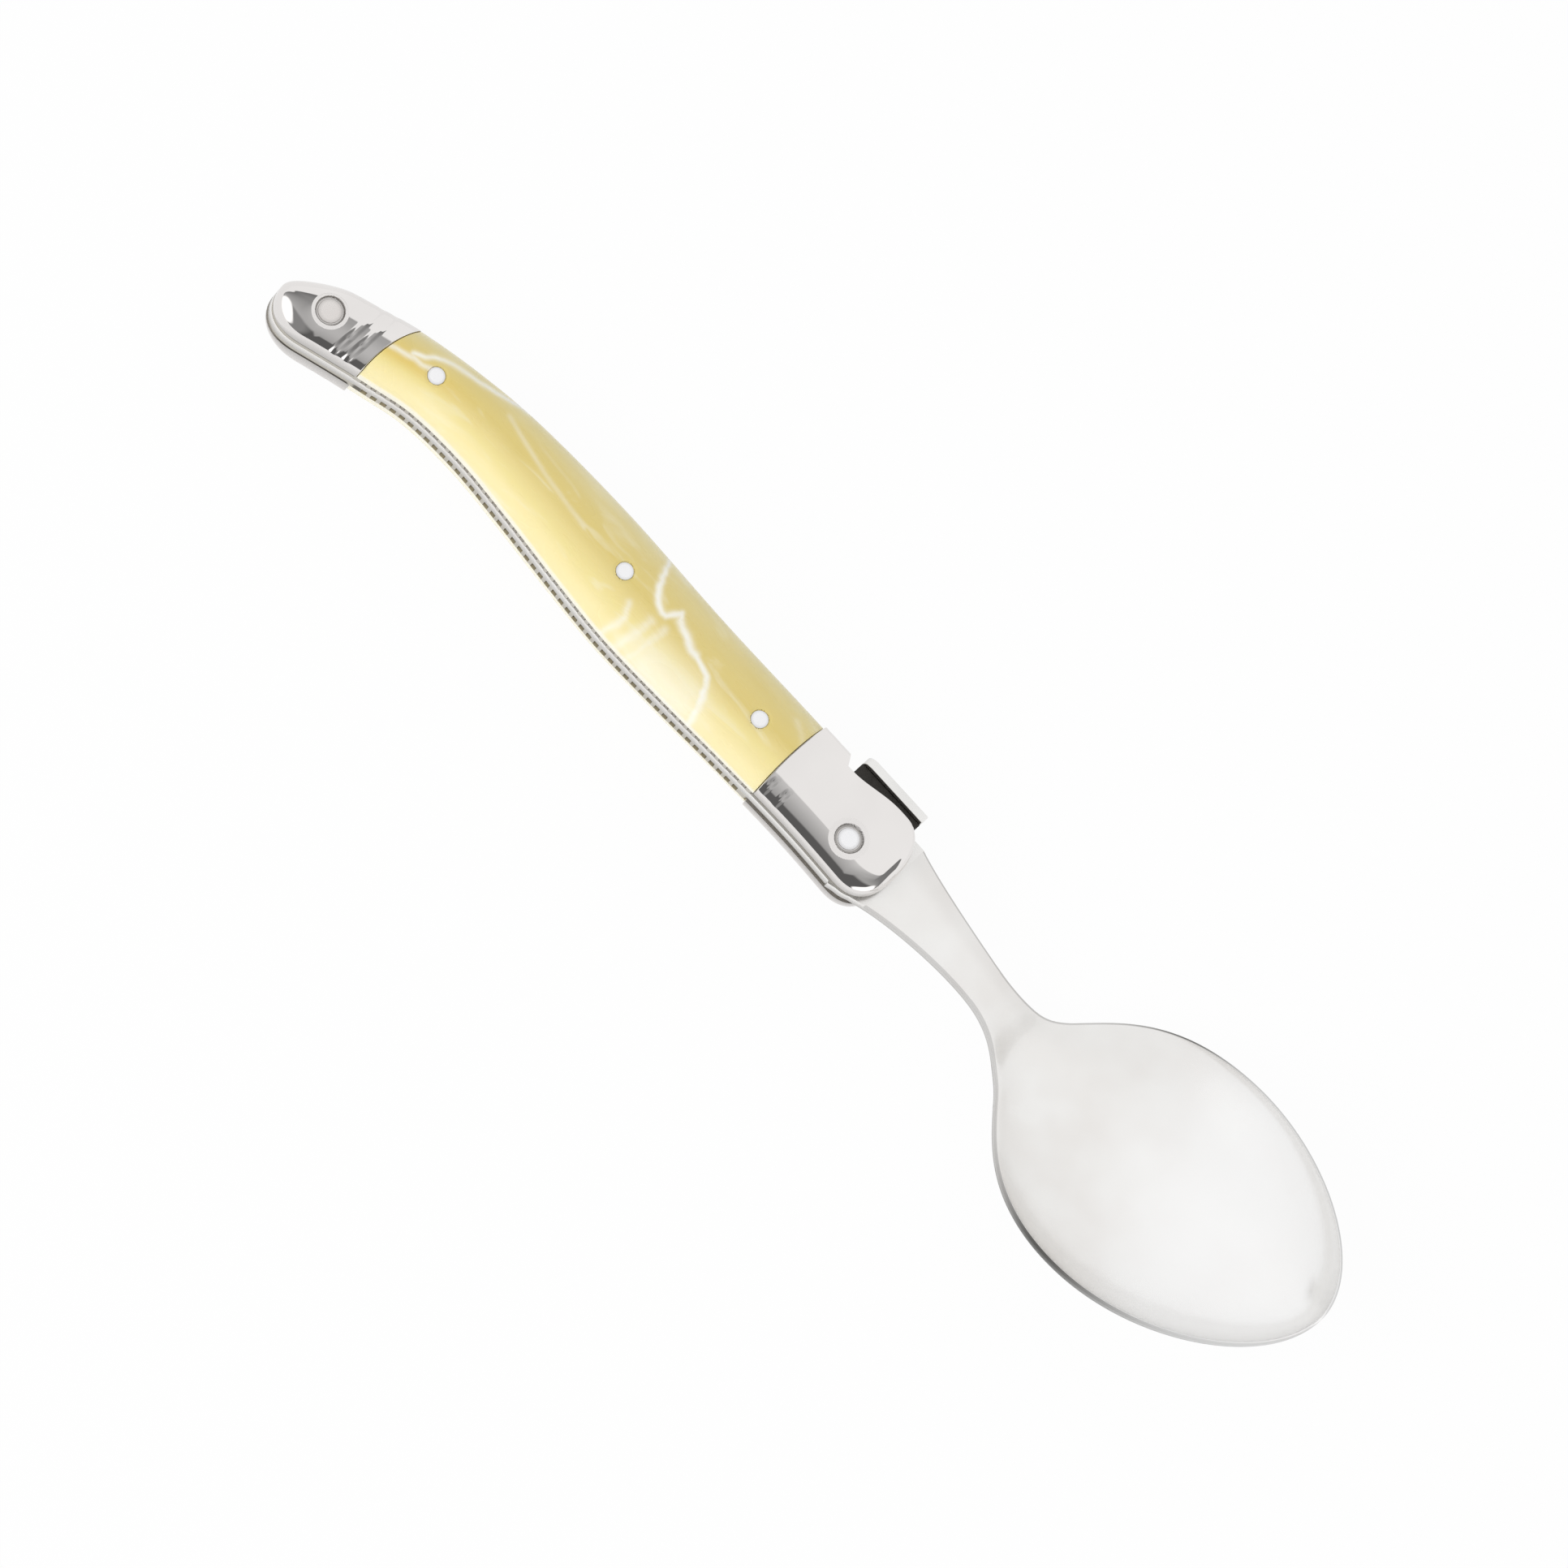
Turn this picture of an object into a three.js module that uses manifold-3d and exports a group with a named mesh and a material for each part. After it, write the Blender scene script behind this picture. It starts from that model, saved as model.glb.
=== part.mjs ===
// Coffee spoon with a riveted handle, in millimetres. +X runs from the handle to the tip of the bowl,
// +Y to the side that carries the fly, and +Z is up. One stamped plate makes the bowl, the neck and the
// full tang. On each side of the tang lie a liner, two bolsters and a scale, held by rivets and pins.
// X is 0 at the rear end of the handle, Y on the middle of the bowl and Z in the middle of the plate.
import * as THREE from "three";
import { LoftGeometry } from "three/addons/geometries/LoftGeometry.js";
import { mergeVertices } from "three/addons/utils/BufferGeometryUtils.js";
import Module from "manifold-3d";

const wasm = await Module();
wasm.setup();

// Lengths along the spoon
const HANDLE_LENGTH = 93;
const NECK_LENGTH = 16;
const BOWL_LENGTH = 51;

// Thicknesses of the layers
const PLATE_THICKNESS = 1.3;
const RIM_THICKNESS = 1.1;
const LINER_THICKNESS = 1;

// Outline of the handle: knots along its length and across its width
const HANDLE_WIDTH = 11.1;
const BACK_EDGE_SHARES = [
  [0, -0.3],
  [0.0925, -0.024],
  [0.1505, 0.147],
  [0.2312, 0.306],
  [0.3269, 0.421],
  [0.4731, 0.475],
  [0.6452, 0.454],
  [0.8065, 0.468],
  [1, 0.464],
];
const BELLY_EDGE_SHARES = [
  [0, -1.02],
  [0.0978, -0.752],
  [0.1548, -0.608],
  [0.2151, -0.478],
  [0.2935, -0.44],
  [0.3763, -0.48],
  [0.4731, -0.55],
  [0.5645, -0.597],
  [0.6667, -0.577],
  [0.7742, -0.538],
  [0.8817, -0.518],
  [1, -0.55],
];
const REAR_ROUND_LENGTH = 6;
const FRONT_ROUND_LENGTH = 4.6;
const REAR_ROUND_CENTRE_SHARE = -0.56;
const FRONT_ROUND_CENTRE_SHARE = -0.135;
const REAR_FULLNESS_SHARE = 1.9;
const FRONT_FULLNESS_SHARE = 2.3;

// Widths of the neck and the bowl, and the curves between them
const NECK_ROOT_WIDTH = 9.64;
const NECK_WAIST_WIDTH = 5.1;
const BOWL_WIDTH = 31.9;
const NECK_CURVE_SHARES = [
  [0, 1],
  [0.273, 0.42],
  [0.7725, 0],
  [1, 0],
];
const BOWL_CURVE_SHARES = [
  [0, 0],
  [0.1287, 0],
  [0.1756, 0.2619],
  [0.1934, 0.3401],
  [0.2529, 0.6008],
  [0.3346, 1],
  [0.5426, 1],
];
const BOWL_NOSE_SHARES = [
  [0.5426, 1],
  [0.7703, 1],
  [1, 0.4971],
  [1, 0],
];

// Side view of the rim: the neck drops to the heel and the rim rises to the tip
const HEEL_DROP = 5.64;
const TIP_RISE = 4.91;
const HEEL_CURVE_SHARES = [
  [0, 0],
  [0.315, 0],
  [0.304, -1],
  [0.358, -1],
];
const RISE_CURVE_SHARES = [
  [0.358, 0],
  [0.418, 0],
  [0.793, 0.4446],
  [1, 1],
];

// Hollow of the bowl
const BOWL_DEPTH = 6.6;
const RIM_LAND = 0.3;
const RIM_EDGE_RADIUS = 0.25;
const HOLLOW_START_SHARE = 0.23;
const DEPTH_CURVE_SHARES = [
  [0, 0],
  [0.207, 0],
  [0.377, 1],
  [0.6215, 1],
  [0.83, 1],
  [1, 0.75],
  [1, 0],
];
const HOLLOW_FULLNESS_SHARE = 2.2;
const HOLLOW_STEEPNESS_SHARE = 0.7;
const HEEL_STEEPNESS_SHARE = 1.5;

// Scales, the pale grips between the bolsters
const SCALE_REAR_WALL = 0.8;
const SCALE_FRONT_WALL = 0.2;
const SCALE_CROWN = 2.45;
const SCALE_SHOULDER_SHARE = 0.85;

// Joints between the scales and the bolsters, bowed seen from above
const REAR_JOINT_FROM_END = 12.67;
const REAR_JOINT_RADIUS = 17;
const REAR_JOINT_CENTRE_SHARE = -0.437;
const FRONT_JOINT_FROM_END = 17.65;
const FRONT_JOINT_RADIUS = 40;
const FRONT_JOINT_CENTRE_SHARE = -0.036;
const JOINT_GAP = 0.08;

// Front bolster
const FRONT_WALL = 1.3;
const FRONT_CROWN = 1.3;
const FRONT_SHOULDER = 2.88;
const FRONT_END_SHOULDER = 1.4;
const FRONT_GROOVES_FROM_JOINT = [0.95, 2.85];
const FRONT_GROOVE_WIDTH = 0.7;
const FRONT_GROOVE_DEPTH = 0.16;

// Rear bolster
const REAR_BELLY_WALL = 2.15;
const REAR_BACK_WALL = 1.1;
const REAR_NOSE_WALL = 0.2;
const REAR_WALL_START = 1;
const REAR_WALL_END = 7;
const REAR_HEIGHT = 3.25;
const REAR_SHOULDER_SHARE = 0.95;
const REAR_NOSE_LENGTH = 5.2;
const REAR_GROOVES_FROM_JOINT = [3.4, 1.85];
const REAR_GROOVE_WIDTH = 0.85;
const REAR_GROOVE_DEPTH = 0.28;

// Rivets of the bolsters, each in a sunk ring inside a raised collar
const RIVET_SHANK_RADIUS = 0.9;
const RIVET_CLEARANCE = 0.06;
const RING_DEPTH = 0.3;
const RIVET_RIM_HEIGHT = 0.12;
const RIVET_DOME_HEIGHT = 0.12;
const DOME_SHOULDER_SHARE = 0.75;
const FRONT_RIVET_FROM_END = 6.6;
const FRONT_RIVET_ACROSS_SHARE = -0.188;
const FRONT_RIVET_RADIUS = 1.28;
const FRONT_RING_RADIUS = 1.7;
const FRONT_COLLAR_RADIUS = 2.3;
const REAR_RIVET_FROM_END = 5.7;
const REAR_RIVET_ACROSS_SHARE = -0.482;
const REAR_RIVET_RADIUS = 1.4;
const REAR_RING_RADIUS = 1.7;
const REAR_COLLAR_RADIUS = 2.05;

// Pins of the scales: their places along the handle
const PIN_RADIUS = 1.06;
const PIN_DOME_HEIGHT = 0.06;
const PIN_CLEARANCE = 0.06;
const PIN_PLACE_SHARES = [0.2011, 0.5194, 0.7548];
const PIN_ACROSS_SHARES = [-0.12, -0.036, -0.036];

// Liners: set back under the bolsters and notched along the belly beside the scales
const LINER_SETBACK = 0.28;
const SETBACK_RAMP = 0.3;
const NOTCH_PITCH = 1.21;
const NOTCH_WIDTH = 0.6;
const NOTCH_DEPTH = 0.6;
const NOTCH_STAGGER_SHARE = 0.5;
const NOTCH_PROFILE_SHARES = [
  [-0.5, 0],
  [-0.4, 1],
  [0.4, 1],
  [0.5, 0],
];

// Fly and its seat, cut into the back of the bolsters, liners and tang
const FLY_LENGTH = 9.2;
const FLY_WIDTH = 5;
const FLY_THICKNESS = 1.05;
const FLY_CORNER_RADIUS = 1.2;
const FLY_TOP_SHARE = 0.6423;
const FLY_FROM_END = 11.6;
const FLY_SEAT_GAP = 0.05;
const SEAT_FROM_END = 12.5;
const SEAT_REAR_SHARE = 0.326;
const SEAT_FRONT_SHARE = 0.434;
const SEAT_RISE_FROM_END = 11.8;
const SEAT_RISE_LENGTH = 6.9;
const SEAT_STEP_LENGTH = 0.8;
const SEAT_STEP_HEIGHT = 1.5;

// One overrun for every cutting body, and more than either joint bows
const OVERRUN = 1;
const JOINT_BOW = 1.6;

// Sizes that follow from the ones above
const TIP = HANDLE_LENGTH + NECK_LENGTH + BOWL_LENGTH;
const FRONT_LENGTH = NECK_LENGTH + BOWL_LENGTH;
const PLATE_FACE = PLATE_THICKNESS / 2;
const LINER_FACE = PLATE_FACE + LINER_THICKNESS;
const FRONT_PLATEAU = LINER_FACE + FRONT_WALL + FRONT_CROWN;
const REAR_PLATEAU = LINER_FACE + REAR_HEIGHT;
const REAR_ROUND_CENTRE = REAR_ROUND_CENTRE_SHARE * HANDLE_WIDTH;
const FRONT_ROUND_CENTRE = FRONT_ROUND_CENTRE_SHARE * HANDLE_WIDTH;
const FRONT_JOINT = HANDLE_LENGTH - FRONT_JOINT_FROM_END;
const REAR_JOINT_CENTRE = REAR_JOINT_CENTRE_SHARE * HANDLE_WIDTH;
const FRONT_JOINT_CENTRE = FRONT_JOINT_CENTRE_SHARE * HANDLE_WIDTH;
const HOLLOW_START = HANDLE_LENGTH + HOLLOW_START_SHARE * FRONT_LENGTH;
const FLY_TOP = FLY_TOP_SHARE * HANDLE_WIDTH;
const SEAT_REAR = HANDLE_LENGTH - SEAT_FROM_END;
const SEAT_REAR_HEIGHT = SEAT_REAR_SHARE * HANDLE_WIDTH;
const SEAT_FRONT_HEIGHT = SEAT_FRONT_SHARE * HANDLE_WIDTH;
const LAST_STATION_SHARE = 0.002;
const LEAST_LAND_SHARE = 0.4;
const GROOVE_STATION_SHARES = [-0.5, -0.22, 0.22, 0.5];

// Numbers of facets
const CURVE_STEPS = 60;
const HANDLE_STEPS = 40;
const ROUND_STEPS = 7;
const SHOULDER_STEPS = 6;
const HOLLOW_STEPS = 14;
const UNDERSIDE_STEPS = 12;
const NECK_STATIONS = 27;
const TIP_STATIONS = 12;
const ROUND_SIDES = 20;
const SEAT_STEPS = 10;

// Points of a chain of cubic curves whose points are shares between two ends along and across
function chain(shares, start, length, base, height) {
  const [first, ...rest] = shares.map(
    ([along, across]) => new THREE.Vector2(start + along * length, base + across * height),
  );
  const path = new THREE.Path().moveTo(first.x, first.y);
  for (let k = 0; k < rest.length; k += 3) {
    const [a, b, c] = rest.slice(k, k + 3);
    path.bezierCurveTo(a.x, a.y, b.x, b.y, c.x, c.y);
  }
  return path.getPoints(CURVE_STEPS);
}

// Second coordinate of a line of points where its first one is x
function valueAt(points, x) {
  const next = points.findIndex((p) => p.x >= x);
  if (next === 0) return points[0].y;
  if (next < 0) return points[points.length - 1].y;
  const [a, b] = [points[next - 1], points[next]];
  return THREE.MathUtils.mapLinear(x, a.x, b.x, a.y, b.y);
}

// Edges of the handle
function edgePoints(shares) {
  const knots = shares.map(
    ([along, across]) => new THREE.Vector2(along * HANDLE_LENGTH, across * HANDLE_WIDTH),
  );
  return new THREE.SplineCurve(knots).getPoints(CURVE_STEPS * shares.length);
}
const backEdge = edgePoints(BACK_EDGE_SHARES);
const bellyEdge = edgePoints(BELLY_EDGE_SHARES);

// How full a rounded end is, from 0 at its end to 1 where it joins the rest
function roundness(distance, length, fullness) {
  const left = Math.max(0, 1 - distance / length);
  return (1 - left ** fullness) ** (1 / fullness);
}

// Rise of a quarter circle, from 0 at an end to 1 at its length
function quarterRise(distance, length) {
  const left = Math.max(0, 1 - distance / length);
  return Math.sqrt(1 - left * left);
}

// Back and belly of the handle at a place along it, drawn in towards both rounded ends
function edgesAt(x) {
  const rear = roundness(x, REAR_ROUND_LENGTH, REAR_FULLNESS_SHARE);
  const front = roundness(HANDLE_LENGTH - x, FRONT_ROUND_LENGTH, FRONT_FULLNESS_SHARE);
  const centre = rear < 1 ? REAR_ROUND_CENTRE : FRONT_ROUND_CENTRE;
  const [back, belly] = [valueAt(backEdge, x), valueAt(bellyEdge, x)].map(
    (y) => centre + (y - centre) * Math.min(rear, front),
  );
  return { back, belly };
}

// Half the width of the neck and bowl, in the order root, waist, widest place and tip
const waist = NECK_WAIST_WIDTH / 2;
const rootRise = (NECK_ROOT_WIDTH - NECK_WAIST_WIDTH) / 2;
const bowlRise = (BOWL_WIDTH - NECK_WAIST_WIDTH) / 2;
const bowlStart = HANDLE_LENGTH + NECK_LENGTH;
const halfWidth = [
  ...chain(NECK_CURVE_SHARES, HANDLE_LENGTH, NECK_LENGTH, waist, rootRise),
  ...chain(BOWL_CURVE_SHARES, bowlStart, BOWL_LENGTH, waist, bowlRise).slice(1),
  ...chain(BOWL_NOSE_SHARES, bowlStart, BOWL_LENGTH, 0, BOWL_WIDTH / 2).slice(1),
];

// The same line moved in by the land, which is the edge of the hollow
const hollowWidth = halfWidth.slice(1, -1).map((point, k) => {
  const along = halfWidth[k + 2].clone().sub(halfWidth[k]).normalize();
  return new THREE.Vector2(point.x + along.y * RIM_LAND, point.y - along.x * RIM_LAND);
});
hollowWidth.push(new THREE.Vector2(TIP - RIM_LAND, 0));

// Height of the rim and depth of the hollow along the middle
const heel = PLATE_FACE - HEEL_DROP;
const rimLine = [
  ...chain(HEEL_CURVE_SHARES, HANDLE_LENGTH, FRONT_LENGTH, PLATE_FACE, HEEL_DROP),
  ...chain(RISE_CURVE_SHARES, HANDLE_LENGTH, FRONT_LENGTH, heel, HEEL_DROP + TIP_RISE).slice(1),
];
const hollowLength = TIP - RIM_LAND - HOLLOW_START;
const depthLine = chain(DEPTH_CURVE_SHARES, HOLLOW_START, hollowLength, 0, BOWL_DEPTH);

// Solids and meshes
function solid(geometry) {
  const plain = new THREE.BufferGeometry();
  plain.setAttribute("position", geometry.getAttribute("position"));
  plain.setIndex(geometry.index);
  const merged = mergeVertices(plain);
  return new wasm.Manifold(
    new wasm.Mesh({
      numProp: 3,
      vertProperties: new Float32Array(merged.attributes.position.array),
      triVerts: new Uint32Array(merged.index.array),
    }),
  );
}

function meshOf(name, body, material) {
  const data = body.getMesh();
  const geometry = new THREE.BufferGeometry();
  geometry.setAttribute("position", new THREE.BufferAttribute(data.vertProperties, 3));
  geometry.setIndex(new THREE.BufferAttribute(data.triVerts, 1));
  geometry.computeVertexNormals();
  const mesh = new THREE.Mesh(geometry, material);
  mesh.name = name;
  return mesh;
}

// A plate with an outline seen from above, between two heights
function plate(outline, bottom, top) {
  const shape = new THREE.Shape(outline);
  const options = { depth: top - bottom, bevelEnabled: false };
  return solid(new THREE.ExtrudeGeometry(shape, options).translate(0, 0, bottom));
}

// An upright round bar
function bar(radius, bottom, top, x, y) {
  const round = new THREE.CylinderGeometry(radius, radius, top - bottom, ROUND_SIDES);
  return solid(round.rotateX(Math.PI / 2).translate(x, y, (bottom + top) / 2));
}

function loft(sections) {
  return solid(new LoftGeometry(sections, { closed: true, capStart: true, capEnd: true }));
}

// Stamped plate: the bowl and neck as sections along X
function bowlSection(x) {
  const rim = valueAt(rimLine, x);
  const wide = valueAt(halfWidth, x);
  const hollow = Math.max(valueAt(hollowWidth, x), wide * LEAST_LAND_SHARE);
  const inside = valueAt(depthLine, x);
  const stretch = (hollowLength * (x - HOLLOW_START)) / (hollowLength + RIM_LAND);
  const outside = valueAt(depthLine, HOLLOW_START + stretch);
  const thinning = THREE.MathUtils.smoothstep(x, bowlStart, bowlStart + BOWL_LENGTH / 2);
  const thickness = THREE.MathUtils.lerp(PLATE_THICKNESS, RIM_THICKNESS, thinning);
  const edge = Math.min(RIM_EDGE_RADIUS, wide / 2);
  const open = THREE.MathUtils.smoothstep(x, HOLLOW_START, bowlStart + BOWL_LENGTH / 2);
  const steepness = THREE.MathUtils.lerp(HEEL_STEEPNESS_SHARE, HOLLOW_STEEPNESS_SHARE, open);
  const sunk = (share) => (1 - Math.abs(share) ** HOLLOW_FULLNESS_SHARE) ** steepness;
  const points = [];
  points.push(new THREE.Vector3(x, wide, rim - edge), new THREE.Vector3(x, wide - edge, rim));
  for (let k = 0; k <= HOLLOW_STEPS; k++) {
    const share = Math.cos((Math.PI * k) / HOLLOW_STEPS);
    points.push(new THREE.Vector3(x, share * hollow, rim - inside * sunk(share)));
  }
  points.push(new THREE.Vector3(x, edge - wide, rim), new THREE.Vector3(x, -wide, rim - edge));
  for (let k = 0; k <= UNDERSIDE_STEPS; k++) {
    const share = -Math.cos((Math.PI * k) / UNDERSIDE_STEPS);
    points.push(new THREE.Vector3(x, share * wide, rim - thickness - outside * sunk(share)));
  }
  return points;
}

function bowlAndNeck() {
  const stations = [];
  const turn = bowlStart + BOWL_LENGTH / 2;
  for (let k = 0; k < NECK_STATIONS; k++) {
    stations.push(THREE.MathUtils.lerp(HANDLE_LENGTH, turn, k / NECK_STATIONS));
  }
  for (let k = 0; k < TIP_STATIONS; k++) {
    const share = Math.sin((Math.PI * k) / TIP_STATIONS / 2);
    stations.push(THREE.MathUtils.lerp(turn, TIP, share));
  }
  stations.push(TIP - LAST_STATION_SHARE * RIM_LAND);
  return loft(stations.map(bowlSection));
}

// Places along the handle, closer together at both rounded ends
const handleStations = [];
for (let k = 0; k < ROUND_STEPS; k++) {
  const share = Math.max(1 - Math.cos((Math.PI * k) / ROUND_STEPS / 2), LAST_STATION_SHARE);
  handleStations.push(share * REAR_ROUND_LENGTH);
}
for (let k = 0; k <= HANDLE_STEPS; k++) {
  const [from, to] = [REAR_ROUND_LENGTH, HANDLE_LENGTH - FRONT_ROUND_LENGTH];
  handleStations.push(THREE.MathUtils.lerp(from, to, k / HANDLE_STEPS));
}
for (let k = 1; k <= ROUND_STEPS; k++) {
  const share = 1 - Math.sin((Math.PI * k) / ROUND_STEPS / 2);
  handleStations.push(HANDLE_LENGTH - share * FRONT_ROUND_LENGTH);
}

// A flat layer of the handle, from four corners at each place along it
function slab(sections, bottom, top) {
  return loft(
    sections.map(({ x, belly, back }) => [
      new THREE.Vector3(x, belly, bottom),
      new THREE.Vector3(x, back, bottom),
      new THREE.Vector3(x, back, top),
      new THREE.Vector3(x, belly, top),
    ]),
  );
}

// Tang: the handle's outline, widened where the neck leaves it
const neckTaper =
  ((1 - NECK_CURVE_SHARES[1][1]) * rootRise) / (NECK_CURVE_SHARES[1][0] * NECK_LENGTH);
function tang() {
  const sections = handleStations.map((x) => {
    const { back, belly } = edgesAt(x);
    const left = HANDLE_LENGTH - x;
    if (left > FRONT_ROUND_LENGTH) return { x, belly, back };
    const neck = NECK_ROOT_WIDTH / 2 + neckTaper * left;
    return { x, belly: Math.min(belly, -neck), back: Math.max(back, neck) };
  });
  return slab(sections, -PLATE_FACE, PLATE_FACE);
}

// Cutting bodies of the joints: everything past a bowed line
function pastRearJoint(gap) {
  const radius = REAR_JOINT_RADIUS - gap;
  const round = new THREE.Shape();
  round.absarc(REAR_JOINT_FROM_END + REAR_JOINT_RADIUS, REAR_JOINT_CENTRE, radius, 0, Math.PI * 2);
  const reach = REAR_JOINT_FROM_END + REAR_JOINT_RADIUS;
  const rest = [
    [reach, -HANDLE_WIDTH * 2],
    [HANDLE_LENGTH * 2, -HANDLE_WIDTH * 2],
    [HANDLE_LENGTH * 2, HANDLE_WIDTH * 2],
    [reach, HANDLE_WIDTH * 2],
  ].map(([x, y]) => new THREE.Vector2(x, y));
  const height = REAR_PLATEAU + OVERRUN;
  return plate(round.getPoints(CURVE_STEPS), -height, height).add(plate(rest, -height, height));
}

function pastFrontJoint(gap) {
  const radius = FRONT_JOINT_RADIUS + gap;
  const round = new THREE.Shape();
  const centre = FRONT_JOINT + FRONT_JOINT_RADIUS;
  round.absarc(centre, FRONT_JOINT_CENTRE, radius, Math.PI / 2, (Math.PI * 3) / 2);
  const height = FRONT_PLATEAU + SCALE_CROWN + OVERRUN;
  return plate(round.getPoints(CURVE_STEPS), -height, height);
}

// Seat of the fly: everything above a line that rises towards the bowl, with a sloping step at its rear
function seatHeight(x) {
  const start = HANDLE_LENGTH - SEAT_RISE_FROM_END;
  const rise = THREE.MathUtils.smoothstep(x, start, start + SEAT_RISE_LENGTH);
  return THREE.MathUtils.lerp(SEAT_REAR_HEIGHT, SEAT_FRONT_HEIGHT, rise);
}

function seatLine(from, to, raised) {
  const line = [];
  for (let k = 0; k <= SEAT_STEPS; k++) {
    const x = THREE.MathUtils.lerp(from, to, k / SEAT_STEPS);
    line.push(new THREE.Vector2(x, seatHeight(x) + raised));
  }
  return line;
}

function seatCut() {
  const stepTop = SEAT_REAR_HEIGHT + SEAT_STEP_HEIGHT;
  const top = FLY_TOP + OVERRUN;
  const outline = [
    new THREE.Vector2(SEAT_REAR - SEAT_STEP_LENGTH, top),
    new THREE.Vector2(SEAT_REAR - SEAT_STEP_LENGTH, stepTop),
    ...seatLine(SEAT_REAR, HANDLE_LENGTH, 0),
    new THREE.Vector2(HANDLE_LENGTH, top),
  ];
  return plate(outline, -FRONT_PLATEAU - OVERRUN, FRONT_PLATEAU + OVERRUN);
}

// A rounded bar across the handle: at each edge a wall and a shoulder that rises to the top's height
function crownSection(x, height, bellyWall, backWall, shoulder) {
  const { back, belly } = edgesAt(x);
  const reach = Math.min(shoulder, (back - belly) / 2);
  const points = [];
  for (let k = 0; k <= SHOULDER_STEPS; k++) {
    const angle = ((Math.PI / 2) * k) / SHOULDER_STEPS;
    const rise = THREE.MathUtils.lerp(backWall, height, Math.sin(angle));
    points.push(new THREE.Vector3(x, back - reach * (1 - Math.cos(angle)), LINER_FACE + rise));
  }
  for (let k = SHOULDER_STEPS; k >= 0; k--) {
    const angle = ((Math.PI / 2) * k) / SHOULDER_STEPS;
    const rise = THREE.MathUtils.lerp(bellyWall, height, Math.sin(angle));
    points.push(new THREE.Vector3(x, belly + reach * (1 - Math.cos(angle)), LINER_FACE + rise));
  }
  points.push(new THREE.Vector3(x, belly, LINER_FACE));
  points.push(new THREE.Vector3(x, back, LINER_FACE));
  return points;
}

// Depth of the grooves at a place along a bolster
function grooveAt(x, places, width, depth) {
  const nearest = Math.min(...places.map((place) => Math.abs(x - place)));
  return nearest < width / 2 ? depth * Math.cos((Math.PI * nearest) / width) : 0;
}

// Places along a bolster: a rounded end, then steps that meet each groove's edges and middle
function bolsterStations(end, direction, round, places, width, joint) {
  const stations = [];
  const firstStation = LAST_STATION_SHARE * round;
  stations.push(end + direction * firstStation);
  for (let k = 1; k <= ROUND_STEPS; k++) {
    const share = 1 - Math.cos((Math.PI * k) / ROUND_STEPS / 2);
    stations.push(end + direction * round * share);
  }
  for (const place of places) {
    for (const share of GROOVE_STATION_SHARES) {
      stations.push(place + share * width);
    }
  }
  stations.push(joint + direction * JOINT_BOW);
  return stations.sort((a, b) => a - b);
}

function frontBolster() {
  const places = FRONT_GROOVES_FROM_JOINT.map((from) => FRONT_JOINT + from);
  const stations = bolsterStations(
    HANDLE_LENGTH,
    -1,
    FRONT_ROUND_LENGTH,
    places,
    FRONT_GROOVE_WIDTH,
    FRONT_JOINT,
  );
  const body = loft(
    stations.map((x) => {
      const groove = grooveAt(x, places, FRONT_GROOVE_WIDTH, FRONT_GROOVE_DEPTH);
      const rise = quarterRise(HANDLE_LENGTH - x, FRONT_END_SHOULDER);
      const height = FRONT_WALL + FRONT_CROWN * rise - groove;
      return crownSection(x, height, FRONT_WALL, FRONT_WALL, FRONT_SHOULDER);
    }),
  );
  const [x, y] = frontRivetPlace;
  const floor = FRONT_PLATEAU - RING_DEPTH;
  return body
    .intersect(pastFrontJoint(0))
    .add(bar(FRONT_COLLAR_RADIUS, LINER_FACE, FRONT_PLATEAU, x, y))
    .subtract(seatCut())
    .subtract(bar(FRONT_RING_RADIUS, floor, FRONT_PLATEAU + OVERRUN, x, y))
    .subtract(bar(RIVET_SHANK_RADIUS + RIVET_CLEARANCE, 0, FRONT_PLATEAU, x, y));
}

function rearBolster() {
  const places = REAR_GROOVES_FROM_JOINT.map((from) => REAR_JOINT_FROM_END - from);
  const stations = bolsterStations(
    0,
    1,
    REAR_ROUND_LENGTH,
    places,
    REAR_GROOVE_WIDTH,
    REAR_JOINT_FROM_END,
  );
  const body = loft(
    stations.map((x) => {
      const { back, belly } = edgesAt(x);
      const shoulder = ((back - belly) / 2) * REAR_SHOULDER_SHARE;
      const groove = grooveAt(x, places, REAR_GROOVE_WIDTH, REAR_GROOVE_DEPTH);
      const run = THREE.MathUtils.smoothstep(x, REAR_WALL_START, REAR_WALL_END);
      const bellyWall = THREE.MathUtils.lerp(REAR_NOSE_WALL, REAR_BELLY_WALL, run);
      const backWall = THREE.MathUtils.lerp(REAR_NOSE_WALL, REAR_BACK_WALL, run);
      const rise = quarterRise(x, REAR_NOSE_LENGTH);
      const height = THREE.MathUtils.lerp(bellyWall, REAR_HEIGHT, rise) - groove;
      return crownSection(x, height, bellyWall, backWall, shoulder);
    }),
  );
  const [x, y] = rearRivetPlace;
  const floor = REAR_PLATEAU - RING_DEPTH;
  return body
    .add(bar(REAR_COLLAR_RADIUS, LINER_FACE, REAR_PLATEAU, x, y))
    .subtract(pastRearJoint(0))
    .subtract(bar(REAR_RING_RADIUS, floor, REAR_PLATEAU + OVERRUN, x, y))
    .subtract(bar(RIVET_SHANK_RADIUS + RIVET_CLEARANCE, 0, REAR_PLATEAU, x, y));
}

// Scale: its wall gets lower towards the bowl
function scaleWallAt(x) {
  return THREE.MathUtils.mapLinear(
    x,
    REAR_JOINT_FROM_END,
    FRONT_JOINT,
    SCALE_REAR_WALL,
    SCALE_FRONT_WALL,
  );
}

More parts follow.
